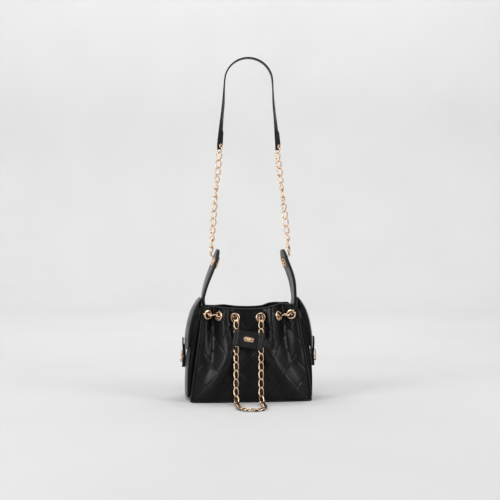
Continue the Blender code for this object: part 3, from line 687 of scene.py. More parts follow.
class Panel:
    """A front (side -1) or back (side +1) panel, sampled on a fine grid that the stitching reads again."""

    columns = 270
    rows = 165

    def __init__(self, side, folds):
        self.side = side
        self.places = eyelet_places(side)
        self.grid = []
        for r in range(self.rows + 1):
            row = []
            for share in even(-1, 1, self.columns):
                z = self.height_of(share, r)
                start = smooth(0, 10 * MM, z)
                p = panel_point(share, z, side)
                edge = 1 - abs(share) ** 8
                lift = fold_height(p.x, z, folds) * edge * start
                lift += 0.9 * MM * noise.noise(Vector((p.x * 20, side * 3, z * 20))) * edge * start
                p.y += side * lift
                row.append(flattened(p, self.places, 9.6 * MM, 13 * MM))
            self.grid.append(row if side < 0 else row[::-1])
        self.normals = row_normals(self.grid)

    def share_of(self, c):
        share = -1 + 2 * c / self.columns
        return share if self.side < 0 else -share

    def height_of(self, share, r):
        return SHELL_LOW + (rim_height(share) - SHELL_LOW) * r / self.rows

    def calm(self, p):
        """0 at an eyelet and 1 away from it: the leather is pressed flat under the flange."""
        nearest = min((p - centre).length for centre, _ in self.places)
        return smooth(9.2 * MM, 13 * MM, nearest)

    def quilt(self):
        """Raises the padding between the stitch lines and presses the lines in."""
        moved, pinned = [], []
        for r, row in enumerate(self.grid):
            for c, p in enumerate(row):
                share = self.share_of(c)
                z = self.height_of(share, r)
                u, v = quilt_place(share, z)
                pad = (abs(sin(pi * u)) * abs(sin(pi * v))) ** 0.55
                edges = smooth(0, 5 * MM, (1 - abs(share)) * BASE_HALF_WIDTH)
                edges *= smooth(0, 6 * MM, rim_height(share) - z) * smooth(1 * MM, 8 * MM, z)
                calm = self.calm(p) * edges
                groove = exp(-((line_gap(share, z) / GROOVE_WIDTH) ** 2))
                moved.append(p + self.normals[r][c] * calm * (PUFF * pad - GROOVE * groove))
                if line_gap(share, z) < PINNED or calm < 0.3:
                    pinned.append(len(moved) - 1)
        return moved, pinned

    def build(self, name, *nodes):
        moved, pinned = self.quilt()
        width = self.columns + 1
        mesh = Build(moved, grid_faces(self.rows, self.columns)).mesh(name)
        obj = add_piece(name, mesh, LEATHER, "root", *nodes)
        swell(obj, pinned, pressure=2.5, steps=10, most=0.6 * MM)
        points = [v.co.copy() for v in mesh.vertices]
        self.grid = [points[r * width:(r + 1) * width] for r in range(self.rows + 1)]
        self.normals = row_normals(self.grid)
        self.cut_holes(mesh)
        thicken(obj, SHELL)

    def cut_holes(self, mesh):
        """Removes the faces inside each eyelet's barrel, where the cord goes through."""
        bm = bmesh.new()
        bm.from_mesh(mesh)
        inside = []
        for face in bm.faces:
            middle = face.calc_center_median()
            if min((middle - centre).length for centre, _ in self.places) < EYELET_HOLE + 0.9 * MM:
                inside.append(face)
        bmesh.ops.delete(bm, geom=inside, context="FACES")
        bm.to_mesh(mesh)
        bm.free()

    def at(self, share, z):
        """(point, normal) of the finished surface."""
        column = (share if self.side < 0 else -share) / 2 + 0.5
        r = (z - SHELL_LOW) / (rim_height(share) - SHELL_LOW) * self.rows
        c = column * self.columns
        r0, c0 = min(self.rows - 1, max(0, int(r))), min(self.columns - 1, max(0, int(c)))
        s, t = r - r0, c - c0
        low = self.grid[r0][c0].lerp(self.grid[r0][c0 + 1], t)
        high = self.grid[r0 + 1][c0].lerp(self.grid[r0 + 1][c0 + 1], t)
        return low.lerp(high, s), self.normals[r0][c0]

    def stitch_runs(self):
        """The quilting lines on the finished surface, broken where an eyelet is."""
        runs = []
        per_width = BASE_HALF_WIDTH / QUILT_HALF_X
        for slope in (-1, 1):
            for k in range(-6, 7):
                run = []
                for i in range(170):
                    z = SHELL_LOW + 3 * MM + i * 1.0 * MM
                    share = (2 * k + slope * (z - QUILT_Z) / QUILT_HALF_Z) / per_width
                    inside = abs(share) < 0.985 and z < rim_height(share) - 3 * MM
                    place = self.at(share, z) if inside else None
                    if place and min((place[0] - c).length for c, _ in self.places) > EYELET_RIM + 1 * MM:
                        run.append(place)
                    elif run:
                        runs.append(run)
                        run = []
                if run:
                    runs.append(run)
        return runs


def build_panels():
    for (word, side), folds in zip(FACES, (FRONT_FOLDS, BACK_FOLDS)):
        panel = Panel(side, folds)
        panel.build(f"{word}_quilted_panel", f"{word}_panel")
        add_stitches(f"{word}_quilt_stitches", panel.stitch_runs(), "root", 3.4 * MM, 0.5 * MM, QUILT_THREAD)


def build_gussets():
    for word, side in SIDES:
        points = []
        for z in even(SHELL_LOW, RIM_Z, 60):
            row = []
            for share in even(-1, 1, 40):
                p = gusset_point(share, z, side)
                crumple = sin(share * 9 + z * 40) * sin(z * 70 + share * 3)
                p.x += side * 0.5 * MM * crumple * (1 - share**4) * smooth(0, 20 * MM, z)
                row.append(p)
            points += row if side > 0 else row[::-1]
        name = f"{word}_gusset_leather"
        mesh = Build(points, grid_faces(60, 40)).mesh(name)
        thicken(add_piece(name, mesh, LEATHER, "root", f"gusset_{word}"), SHELL)


def round_the_bag(z_of, out, wide=96, deep=24):
    """A closed loop round the bag: z_of gives the height at a panel's share, out moves it outwards."""
    loop = []
    for turn in (1, -1):
        for share in even(-turn, turn, wide)[:-1]:
            loop.append(panel_point(share, z_of(share), -turn) + Vector((0, -turn * out, 0)))
        for share in even(-turn, turn, deep)[:-1]:
            loop.append(gusset_point(share, z_of(1), turn) + Vector((turn * out, 0, 0)))
    return loop


def build_edges():
    """The rim's binding, the piping up the four corner seams and round the base, and the base itself."""
    rim = round_the_bag(lambda share: rim_height(share) - 0.3 * MM, -0.6 * MM)
    add_cord("rim_binding", rim, UP, oval(1.9 * MM, 1.7 * MM), SLIM_LEATHER, closed=True)
    for face, depth in FACES:
        for word, side in SIDES:
            points = []
            for i in range(70):
                p = panel_point(side, 1.8 * MM + (RIM_Z - 3 * MM) * i / 69, depth)
                points.append(p + Vector((side * 0.9 * MM, depth * 0.5 * MM, 0)))
            add_cord(f"piping_{face}_{word}", points, BACK, circle(PIPING), SLIM_LEATHER)
    foot = round_the_bag(lambda share: 2.0 * MM, 0.1 * MM)
    add_cord("base_piping", foot, UP, circle(PIPING), SLIM_LEATHER, closed=True)
    outline = round_the_bag(lambda share: 0.3 * MM, -0.5 * MM)
    rings = []
    for z, inset in BASE_EDGE:
        inward = [Vector((p.x, p.y, 0)).normalized() * inset * MM for p in outline]
        rings.append([Vector((p.x, p.y, z * MM)) - move for p, move in zip(outline, inward)])
    Build().rings(rings).piece("base_leather", LEATHER, "root", "base_panel")


def build_lining():
    """The lining cup: it hangs inside the shell to its hem, with soft folds, and lies on the base board."""
    low = PANEL + 2 * GAP + 2.6 * MM
    rows = []
    for z in even(low, LINING_TOP_Z, 26):
        loop = round_the_bag(lambda share: z, 0.0, 72, 20)
        ring = []
        for i, p in enumerate(loop):
            along = (loop[(i + 1) % len(loop)] - loop[i - 1]).normalized()
            sag = 1.1 * MM * (1 + sin(i * 0.37 + z * 30)) * smooth(low, low + 30 * MM, z)
            ring.append(p + Vector((-along.y, along.x, 0)) * (LINING_INSET + sag))
        rows.append(ring)
    build = Build().rings(rows, caps=False)
    size = len(rows[0])
    for k in (0.66, 0.33, 0.02):
        build.points.extend([Vector((p.x * k, p.y * k, p.z)) for p in rows[0]])
    firsts = [0] + [(len(rows) + k) * size for k in range(3)]
    for outer, inside in zip(firsts, firsts[1:]):
        for i in range(size):
            j = (i + 1) % size
            build.faces.append((outer + j, outer + i, inside + i, inside + j))
    build.faces.append(tuple(firsts[-1] + i for i in reversed(range(size))))
    mesh = build.mesh("lining_cloth")
    obj = add_piece("lining_cloth", mesh, LINING, "root", "lining")
    thicken(obj, 0.5 * MM, offset=0)
    add_cord("lining_hem", rows[-1], UP, circle(0.9 * MM, 8), LINING, closed=True)


# ---- eyelets ----
def eyelet_build(hole, rim, half, centre, normal, sides=44):
    """A two-part eyelet round leather of half thickness half: domed flange, rolled bore and back washer."""
    matrix = frame_on(centre, normal)
    seat = half + 0.1 * MM
    barrel = hole + 0.55 * MM
    crown = 1.45 * MM if rim > 6 * MM else 0.9 * MM
    profile = [(barrel, seat), (rim - 0.2 * MM, seat), (rim, seat + 0.25 * MM)]
    for angle in even(0, pi, 6):
        radius = (rim + hole) / 2 + (rim - hole) / 2 * cos(angle)
        profile.append((radius, seat + 0.3 * MM + crown * sin(angle) ** 0.8))
    profile += [(hole, -seat - 0.5 * MM), (hole + 0.6 * MM, -seat - 0.9 * MM)]
    profile += [(rim - 1.0 * MM, -seat - 0.5 * MM), (rim - 0.7 * MM, -seat), (barrel, -seat)]
    rings = [[matrix @ polar(radius, angle, z) for radius, z in profile] for angle in turns(sides)]
    return Build().rings(rings, closed=True)


def build_eyelets():
    for face, side in FACES:
        for number, (centre, normal) in enumerate(eyelet_places(side), 1):
            build = eyelet_build(EYELET_HOLE, EYELET_RIM, PANEL / 2 - 0.2 * MM, centre, normal)
            build.piece(f"{face}_grommet_{number}", GOLD, "root", f"eyelet_{face}_{number}")


# ---- chains ----
def add_link(build, place, length, width, wire, twist=0.0, turn=0.0):
    """An oval link round a place on the chain; its ends are twisted so that neighbours lock and lie flat."""
    centre, along, normal, across = place
    c, s = cos(turn), sin(turn)
    normal, across = normal * c + across * s, across * c - normal * s
    half, wide = (length - wire) / 2, (width - wire) / 2
    points = []
    for x, z in oval(wide, half, 24, 0.85):
        bend = twist * z / half
        points.append(centre + along * z + (across * cos(bend) + normal * sin(bend)) * x)
    build.sweep(frames_along(points, normal, closed=True), circle(wire / 2, 8), closed=True)


def between(a, b, like):
    """The place half way from a to b, with the normal and binormal of another place."""
    return (a[0] + b[0]) / 2, (b[0] - a[0]).normalized(), like[2], like[3]


def build_shoulder_chains():
    for word, side in SIDES:
        eyelet, out = tab_at(TAB_EYELET_Z, side)
        top = Vector((side * STRAP_END_X, 0, STRAP_HOLE_Z - 11.5 * MM))
        low = eyelet + out * 7.2 * MM + Vector((0, 0, 11 * MM))
        line = spline([top, top.lerp(low, 0.5) + Vector((side * 0.8 * MM, 0, 0)), low], 30)
        points, pitch = spaced(line, (line[0] - line[-1]).length / LINK_COUNT)
        places = frames_along(points, FRONT)
        links = Build()
        for a, b in zip(places, places[1:]):
            place = between(a, b, a)
            turn = LINK_TURN * (LINK_FLAT - place[0].z / MM)
            add_link(links, place, pitch + 2 * LINK_WIRE, LINK_WIDTH, LINK_WIRE, radians(42), turn)
        body = f"strap_chain_{word}"
        links.piece(f"{word}_shoulder_links", GOLD, body, body)
        entry = Build()
        inner = eyelet - out * 5 * MM
        start = places[-1][0]
        along = (inner - start).normalized()
        place = ((start + inner) / 2, along, FRONT, along.cross(FRONT).normalized())
        add_link(entry, place, (inner - start).length + 2 * LINK_WIRE, 8.6 * MM, 2 * MM, turn=pi / 2)
        entry.piece(f"{word}_eyelet_link", GOLD, "root")


def leg_exit(place):
    """Where the drawstring comes out of an eyelet at the front and starts down."""
    centre, normal = place
    start = centre + normal * 1 * MM
    out = normal * 5.5 * MM
    return [start, start + out, start + 2 * out - Vector((0, 0, 5 * MM))]


def loop_points():
    """The hanging loop: out of one middle eyelet, down, round on the ground and up to the other."""
    floor_z = 3.0 * MM
    drop = [LEG_TOP.lerp(LEG_FOOT, share) for share in (0, 0.05, 0.36, 0.67, 0.84, 1)]
    drop += [Vector((LEG_FOOT.x, -75.5 * MM, 8.5 * MM)), Vector((LEG_FOOT.x, -85 * MM, floor_z))]
    exits = [leg_exit(place) for place in eyelet_places(-1)[2:4]]
    spread_x = Vector((LEG_SPREAD, 0, 0))
    turn_y = LOOP_REACH_Y + LEG_SPREAD
    turn = [
        Vector((LEG_FOOT.x - LEG_SPREAD * cos(angle), turn_y - LEG_SPREAD * sin(angle), floor_z))
        for angle in even(0, pi, 6)
    ]
    left, right = [p - spread_x for p in drop], [p + spread_x for p in reversed(drop)]
    return exits[0] + left + turn + right + exits[1][::-1]


def run_points():
    """The run round the rim, in and out of the twelve eyelets."""
    front, back = eyelet_places(-1), eyelet_places(1)
    reach = 6.5 * MM

    def through(place, outward_first):
        centre, normal = place
        first, last = (reach, -reach) if outward_first else (-reach, reach)
        return [centre + normal * first, centre, centre + normal * last]

    points = [front[2][0], front[2][0] - front[2][1] * reach]
    points += through(front[1], False) + through(front[0], True)
    points += [Vector((-77, y, 154)) * MM for y in (-15, 0, 15)]
    for number, place in enumerate(back):
        points += through(place, number % 2 == 1)
    points += [Vector((77, y, 154)) * MM for y in (15, 0, -15)]
    points += through(front[5], False) + through(front[4], True)
    return points + [front[3][0] - front[3][1] * reach, front[3][0]]


def build_woven(name, points):
    """A chain along a line with a lace woven through its links: returns the lace, its path and the links."""
    line = spline(points, 12)
    joints, pitch = spaced(line, WOVEN_PITCH)
    fine, _ = spaced(line, WOVEN_PITCH / 12)
    places = frames_along(fine, UP)
    per_link = (len(fine) - 1) / (len(joints) - 1)
    links = Build()
    for k in range(len(joints) - 1):
        place = between(*(places[round((k + t) * per_link)] for t in (0, 1, 0.5)))
        add_link(links, place, pitch + 2 * WOVEN_WIRE, WOVEN_WIDTH, WOVEN_WIRE, radians(40))
    path = []
    for i, (p, _, n, b) in enumerate(places):
        phase = 2 * pi * i / per_link
        path.append(p + n * (-0.2 * MM - 1.1 * MM * cos(phase)) + b * 0.3 * MM * sin(phase / 2))
    section = oval(LACE_THICKNESS / 2, LACE_WIDTH / 2, 14, 0.7)
    lace = add_cord(f"{name}_lace", path, UP, section, LACE, "root", name)
    return lace, path, links.piece(f"{name}_links", GOLD, "root")


def build_drawstring():
    build_woven("drawstring_run", run_points())
    lace, path, links = build_woven("drawstring_loop", loop_points())


# ---- slider ----
def slider_frame():
    middle = LEG_TOP.lerp(LEG_FOOT, 0.21)
    along = Vector((0, LEG_TOP.y - LEG_FOOT.y, LEG_TOP.z - LEG_FOOT.z)).normalized()
    turn = Matrix((RIGHT, along, RIGHT.cross(along))).transposed().to_4x4()
    return Matrix.Translation(middle) @ turn @ Matrix.Rotation(-SLIDER_TILT, 4, "Z")


def sleeve_rings(matrix, side):
    """One rolled sleeve: the outer wall from end to end, and back along the inner one."""
    rings = []
    for wall, order in ((0.0, 1), (0.9 * MM, -1)):
        for k, t in enumerate(even(-1, 1, 12)):
            y = order * t * SLIDER_LENGTH / 2
            pinch = 0.35 * MM * (1 - abs(t) ** 6) * sin(k * 1.3)
            flare = -0.25 * MM * abs(t) ** 8
            ring = []
            for u, v in oval(1, 1, 40, 0.82):
                x = side * LEG_SPREAD + u * (SLEEVE_HALF_WIDTH - wall + flare - 0.3 * MM)
                fold = 1.3 * MM * exp(-((u / 0.2) ** 2)) if v > 0 else 0.0
                z = v * (SLEEVE_HALF_DEPTH - wall + flare - 0.2 * MM) + pinch * 0.3 - fold
                ring.append(matrix @ Vector((x, y, z)))
            rings.append(ring)
    return rings


def build_slider():
    matrix = slider_frame()
    half = SLIDER_LENGTH / 2
    leather = Build()
    for side in (-1, 1):
        leather.rings(sleeve_rings(matrix, side), closed=True)
    bridge_half = LEG_SPREAD - SLEEVE_HALF_WIDTH + 1.6 * MM
    rows = []
    for r in range(17):
        y = -half + 0.6 * MM + (SLIDER_LENGTH - 1.2 * MM) * r / 16
        row = []
        for share in even(-1, 1, 24):
            x = bridge_half * share
            dish = -0.5 * MM * (1 - (x / bridge_half) ** 2) * (0.6 + 0.4 * cos(y * 120))
            row.append(matrix @ Vector((x, y, 0.3 * MM + dish)))
        rows.append(row)
    leather.join(slab(rows, 2.4 * MM))
    leather.piece("slider_sewn_leather", SLIDER_LEATHER, "slider", "slider_leather", sharp=60)
    out = matrix.to_3x3() @ UP
    runs = []
    for side in (-1, 1):
        x = side * (bridge_half - 3.2 * MM)
        line = [-half + 1.6 * MM + (SLIDER_LENGTH - 3.2 * MM) * k / 19 for k in range(20)]
        runs.append([(matrix @ Vector((x, y, 1.3 * MM)), out) for y in line])
    add_stitches("slider_stitches", runs, "slider", 2.4 * MM, 0.2 * MM)
    rings = []
    for z, inset in PLATE_EDGE:
        ring = []
        for angle in turns(48):
            x = squared(cos(angle), 0.55) * (PLATE_HALF_X - inset * MM)
            y = squared(sin(angle), 0.75) * (PLATE_HALF_Y - inset * MM)
            ring.append(matrix @ Vector((x, y, z * MM)))
        rings.append(ring)
    Build().rings(rings).piece("slider_metal_plate", GOLD, "slider", "slider_plate", sharp=50)
    rings = []
    for angle in even(0, pi / 2, 8):
        radius = max(2.9 * MM * cos(angle), 0.05 * MM)
        z = 2.6 * MM + 2.0 * MM * sin(angle)
        rings.append([matrix @ polar(radius, a, z) for a in turns(28)])
    Build().rings(rings).piece("slider_dome_stud", GOLD, "slider", "slider_stud")


# ---- tabs and shoulder strap ----
def tab_raised(z):
    return smooth(175 * MM, 235 * MM, z)


def tab_point(x, z, across, side):
    twist = TAB_TWIST * tab_raised(z)
    lean = TAB_LEAN * tab_raised(z)
    return Vector((side * x + lean - across * sin(twist), across * cos(twist), z))


def tab_at(z, side):
    """(point, outward normal) of a tab's middle line."""
    ordered = [(h, x) for x, h in TAB_PATH]
    here, above = table_value(ordered, z), table_value(ordered, z + 4 * MM)
    along = Vector((side * (above - here), 0, 4 * MM))
    twist = TAB_TWIST * tab_raised(z)
    across = Vector((-sin(twist), cos(twist), 0))
    normal = across.cross(along).normalized()
    if normal.x * side < 0:
        normal = -normal
    return tab_point(here, z, 0, side), normal


def build_tabs():
    half_thick = TAB_THICKNESS / 2 - 0.2 * MM
    for word, side in SIDES:
        centre, normal = tab_at(TAB_EYELET_Z, side)
        rows = []
        for p in side_path(TAB_PATH, 9):
            half = table_value(TAB_HALF_WIDTH, p.z) - 1.4 * MM
            row = []
            for share in even(-1, 1, 24):
                across = half * share
                q = tab_point(p.x, p.z, across, side)
                bow = 0.8 * MM * (1 - (across / (18 * MM)) ** 2) * smooth(150 * MM, 200 * MM, p.z)
                row.append(flattened(q + Vector((side * bow, 0, 0)), [(centre, normal)], 10 * MM, 15 * MM))
            rows.append(row if side > 0 else row[::-1])
        leather = slab(rows, TAB_THICKNESS - 0.4 * MM, rounding=6)
        obj = leather.piece(f"{word}_tab_leather", SIDE_LEATHER, "root", f"tab_{word}")
        cut_round_hole(obj, centre, normal, EYELET_HOLE + 0.9 * MM)
        grommet = eyelet_build(EYELET_HOLE, EYELET_RIM, half_thick, centre, normal)
        grommet.piece(f"{word}_tab_grommet", GOLD, "root", f"tab_eyelet_{word}")
        normals = row_normals(rows)
        runs = []
        for face in (1, -1):
            for edge in (2, 22):
                cells = [(r, edge) for r in range(8, len(rows) - 3)]
                runs.append(seam(rows, normals, cells, half_thick, face))
        add_stitches(f"{word}_tab_stitches", runs)


def strap_line(steps):
    low = STRAP_HOLE_Z - 5.2 * MM
    right = [Vector((STRAP_END_X + 0.2 * MM, 0, low)), Vector((STRAP_END_X, 0, STRAP_HOLE_Z + 6 * MM))]
    right += [Vector((STRAP_END_X - 3.2 * MM, 0, 505 * MM)), Vector((STRAP_TOP_RADIUS + 2 * MM, 0, 545 * MM))]
    arc = [
        Vector((STRAP_TOP_RADIUS * cos(angle), 0, STRAP_SHOULDER_Z + STRAP_TOP_RADIUS * sin(angle)))
        for angle in even(0, pi, 8)
    ]
    left = [Vector((-p.x, 0, p.z)) for p in reversed(right)]
    return spline(right + arc + left, steps)


def strap_turn(z):
    """The strap turns to face the front towards its ends."""
    ends = 1 - smooth(STRAP_HOLE_Z - 5 * MM, 535 * MM, z)
    return radians(26) * ends + radians(22) * (1 - smooth(530 * MM, 600 * MM, z))


def strap_place(path, i):
    """(point, outward normal, across) of the strap, with its turn."""
    a, b = path[max(i - 1, 0)], path[min(i + 1, len(path) - 1)]
    tangent = (b - a).normalized()
    across = BACK
    normal = across.cross(tangent).normalized()
    if normal.dot(path[i] - Vector((0, 0, STRAP_SHOULDER_Z - 60 * MM))) < 0:
        normal = -normal
    angle = strap_turn(path[i].z) * (1 if path[i].x > 0 else -1)
    turned = across * cos(angle) + across.cross(tangent) * sin(angle)
    return path[i], turned.cross(tangent).normalized(), turned


def build_strap():
    path, _ = spaced(strap_line(8), 3 * MM)
    last = len(path) - 1
    body = "shoulder_strap"
    rows = []
    for i in range(len(path)):
        p, _, across = strap_place(path, i)
        end = min(i, last - i)
        half = (STRAP_WIDTH / 2 - 1.0 * MM) * (0.55 if end == 0 else 0.88 if end == 1 else 1.0)
        rows.append([p + across * half * share for share in even(-1, 1, 8)])
    strap = slab(rows, STRAP_THICKNESS, rounding=6).piece("shoulder_strap_leather", SLIM_LEATHER, body, body)
    normals = row_normals(rows)
    runs = []
    for face in (1, -1):
        for edge in (1, 7):
            cells = [(r, edge) for r in range(3, len(rows) - 3)]
            runs.append(seam(rows, normals, cells, STRAP_THICKNESS / 2, face))
    add_stitches("shoulder_strap_stitches", runs, body, 3.4 * MM, 0.2 * MM)
    for word, side in SIDES:
        centre, normal, across = strap_place(path, last - 2 if side < 0 else 2)
        if normal.y > 0:
            normal = -normal
        fold_rows = []
        for i in range(13) if side > 0 else range(last - 12, last + 1):
            p, _, wide = strap_place(path, i)
            half = (STRAP_WIDTH / 2 - 1.2 * MM) * (0.5 if min(i, last - i) in (0, 12) else 1.0)
            fold_rows.append([p + wide * half * share + normal * 2.3 * MM for share in even(-1, 1, 6)])
        fold = slab(fold_rows, 2.0 * MM, rounding=5)
        doubled = fold.piece(f"{word}_strap_fold", SLIM_LEATHER, body)
        for obj in (strap, doubled):
            cut_round_hole(obj, centre, normal, 3.0 * MM)
        grommet = eyelet_build(2.5 * MM, 4.4 * MM, 2.3 * MM, centre + normal * 1.15 * MM, normal, sides=28)
        grommet.piece(f"{word}_strap_grommet", GOLD, body, f"strap_eyelet_{word}")
        down = Vector((0, 0, -1))
        hang = (centre + Vector((side * STRAP_END_X, 0, STRAP_HOLE_Z))) / 2
        ring = [
            hang + down * END_RING * MM * (1 - cos(angle)) + normal * END_RING * MM * sin(angle)
            for angle in turns(32)
        ]
        section = circle(1.1 * MM)
        add_cord(f"{word}_end_ring", ring, across, section, GOLD, body, f"strap_ring_{word}", closed=True)


# ---- side pockets, flaps, belts and buckles ----
def fallen_back(y):
    """How far the side pieces' curve lies behind their middle line."""
    return SIDE_CURVE * y * y


def side_rows(path, half_width, side, columns=24, taper=None, shift=0.0):
    """Rows of points across a curved side piece, from its line and its width along it."""
    rows = []
    for i, p in enumerate(path):
        half = half_width * (taper(i / (len(path) - 1)) if taper else 1.0)
        line = [half * share for share in even(-1, 1, columns)]
        row = [Vector((side * (p.x + shift - fallen_back(y)), y, p.z)) for y in line]
        rows.append(row if side > 0 else row[::-1])
    return rows


def pocket_half(z):
    return POCKET_HALF_WIDTH * (1 - 0.06 * smooth(40 * MM, 4 * MM, z))


def pocket_ring(z, side, inset):
    """The pocket's outline at a height: across its outer wall and back along the gusset."""
    half = pocket_half(z) - inset
    outer = table_value(POCKET_OUTER, z) - inset
    wave = 0.5 * MM * sin(z * 95) * (1 if inset == 0 else 0)
    ring = []
    for share in even(-1, 1, 32):
        y = half * share
        round_off = 1.6 * MM * abs(y / half) ** 10
        x = outer - fallen_back(y) - round_off + wave * cos(y * 60) * 0.5 - 0.3 * MM
        ring.append(Vector((side * x, y, z)))
    seam_y = panel_point(1.0, z, 1).y
    for share in even(1, -1, 32):
        y = half * share
        wall = gusset_point(min(1.0, abs(y) / seam_y), z, 1).x + PANEL / 2 + 2 * GAP + inset
        ring.append(Vector((side * min(wall, outer - fallen_back(y) - 2.4 * MM), y, z)))
    return ring


def build_pockets():
    levels = even(POCKET_BOTTOM_Z, POCKET_TOP_Z, 44)
    for word, side in SIDES:
        rings = [pocket_ring(z, side, 0.0) for z in levels]
        rings += [pocket_ring(z, side, POCKET_WALL) for z in levels[:2:-1]]
        Build().rings(rings).piece(f"{word}_pocket_leather", SIDE_LEATHER, "root", f"pocket_{word}")
        for edge, sign in FACES:
            points = []
            for z in levels:
                half = pocket_half(z)
                x = table_value(POCKET_OUTER, z) - fallen_back(half) - 0.6 * MM
                points.append(Vector((side * x, sign * (half + 0.1 * MM), z)))
            add_cord(f"{word}_pocket_piping_{edge}", points, BACK, circle(1.3 * MM, 8), SLIM_LEATHER)
        run = []
        for k in range(41):
            y = pocket_half(POCKET_TOP_Z) * (-0.92 + 1.84 * k / 40)
            z = POCKET_TOP_Z - 5 * MM
            run.append((Vector((side * (table_value(POCKET_OUTER, z) - fallen_back(y)), y, z)), RIGHT * side))
        add_stitches(f"{word}_pocket_stitches", [run])


def build_bellows():
    """Folded leather that closes each end of the pocket's mouth, from the gusset out to under the flap."""
    flap_line = sorted((z, x) for x, z in FLAP_PATH)
    for word, side in SIDES:
        build = Build()
        for sign in (-1, 1):
            rows = []
            for level in even(98, 178, 16):
                z = level * MM
                y = sign * (28.5 - 10 * smooth(150 * MM, 178 * MM, z)) * MM
                seam_y = panel_point(1.0, min(z, RIM_Z), 1).y
                inner = gusset_point(min(1.0, abs(y) / seam_y), z, 1).x + 1.9 * MM
                if z < POCKET_TOP_Z:
                    inner = table_value(POCKET_OUTER, z) - fallen_back(y) - 1.4 * MM
                outer = max(table_value(flap_line, z) - fallen_back(y) - 3.3 * MM, inner + 0.8 * MM)
                row = []
                for c in range(9):
                    bow = sign * 1.2 * MM * sin(pi * c / 8)
                    row.append(Vector((side * (inner + (outer - inner) * c / 8), y - bow, z)))
                rows.append(row)
            build.join(slab(rows, 1.4 * MM))
        build.piece(f"{word}_pocket_bellows", LEATHER, "root")


def flap_taper(t):
    """The flap widens below its hinge, and its lower corners are round."""
    corner = 1.0 if t < 0.86 else 1 - 0.42 * (1 - sqrt(max(0.0, 1 - ((t - 0.86) / 0.14) ** 2)))
    return (0.78 + 0.22 * smooth(0, 0.5, t)) * corner


def belt_taper(t):
    """The belt ends in a point."""
    return 1 - 0.75 * max(0.0, (t - 0.78) / 0.22) ** 1.6


def layer_taper(t):
    """The belt's doubled-back layer ends in a blunter point."""
    return 1 - 0.6 * max(0.0, (t - 0.8) / 0.2) ** 1.6


def build_flaps():
    for word, side in SIDES:
        strip = side_rows(side_path(STRIP_PATH, 6), STRIP_HALF_WIDTH, side)
        slab(strip, 1.6 * MM).piece(f"{word}_flap_strip_leather", SLIM_LEATHER, "root", f"flap_strip_{word}")
        rows = side_rows(side_path(FLAP_PATH, 9), FLAP_HALF_WIDTH - 1.0 * MM, side, 40, flap_taper, -1.3 * MM)
        body = f"flap_{word}"
        slab(rows, FLAP_THICKNESS, rounding=6).piece(f"{word}_flap_leather", SIDE_LEATHER, body, body)
        last = len(rows) - 3
        lines = [[(r, edge) for r in range(1, last)] for edge in (2, 38)]
        lines += [[(r, c) for c in range(2, 39)] for r in (2, 5, last)]
        normals = row_normals(rows)
        runs = [seam(rows, normals, cells, FLAP_THICKNESS / 2) for cells in lines]
        add_stitches(f"{word}_flap_stitches", runs, body)
        build_belt(word, side, body)
        build_buckle(word, side, body)


def build_belt(word, side, body):
    path = side_path(BELT_PATH, 8)
    rows = side_rows(path, BELT_WIDTH / 2 - 0.8 * MM, side, 16, belt_taper)
    leather = slab(rows, BELT_THICKNESS, rounding=6)
    belt = leather.piece(f"{word}_belt_leather", SLIM_LEATHER, body, f"belt_{word}")
    under = side_rows(path[8:], BELT_WIDTH / 2 - 1.2 * MM, side, 12, layer_taper, -2.9 * MM)
    slab(under, 3.0 * MM, rounding=6).piece(f"{word}_belt_underlayer", SLIM_LEATHER, body)
    slot = Vector((side * 121.4 * MM, 0, BUCKLE_Z - 1 * MM))
    bpy.ops.mesh.primitive_cube_add(size=1)
    cut_away(belt, Matrix.Translation(slot) @ Matrix.Diagonal((6 * MM, 3.6 * MM, 9 * MM, 1)))
    normals = row_normals(rows)
    lines = [[(r, edge) for r in range(1, len(rows) - 8)] for edge in (2, 14)]
    runs = [seam(rows, normals, cells, BELT_THICKNESS / 2) for cells in lines]
    add_stitches(f"{word}_belt_stitches", runs, body, 2.6 * MM, 0.2 * MM)


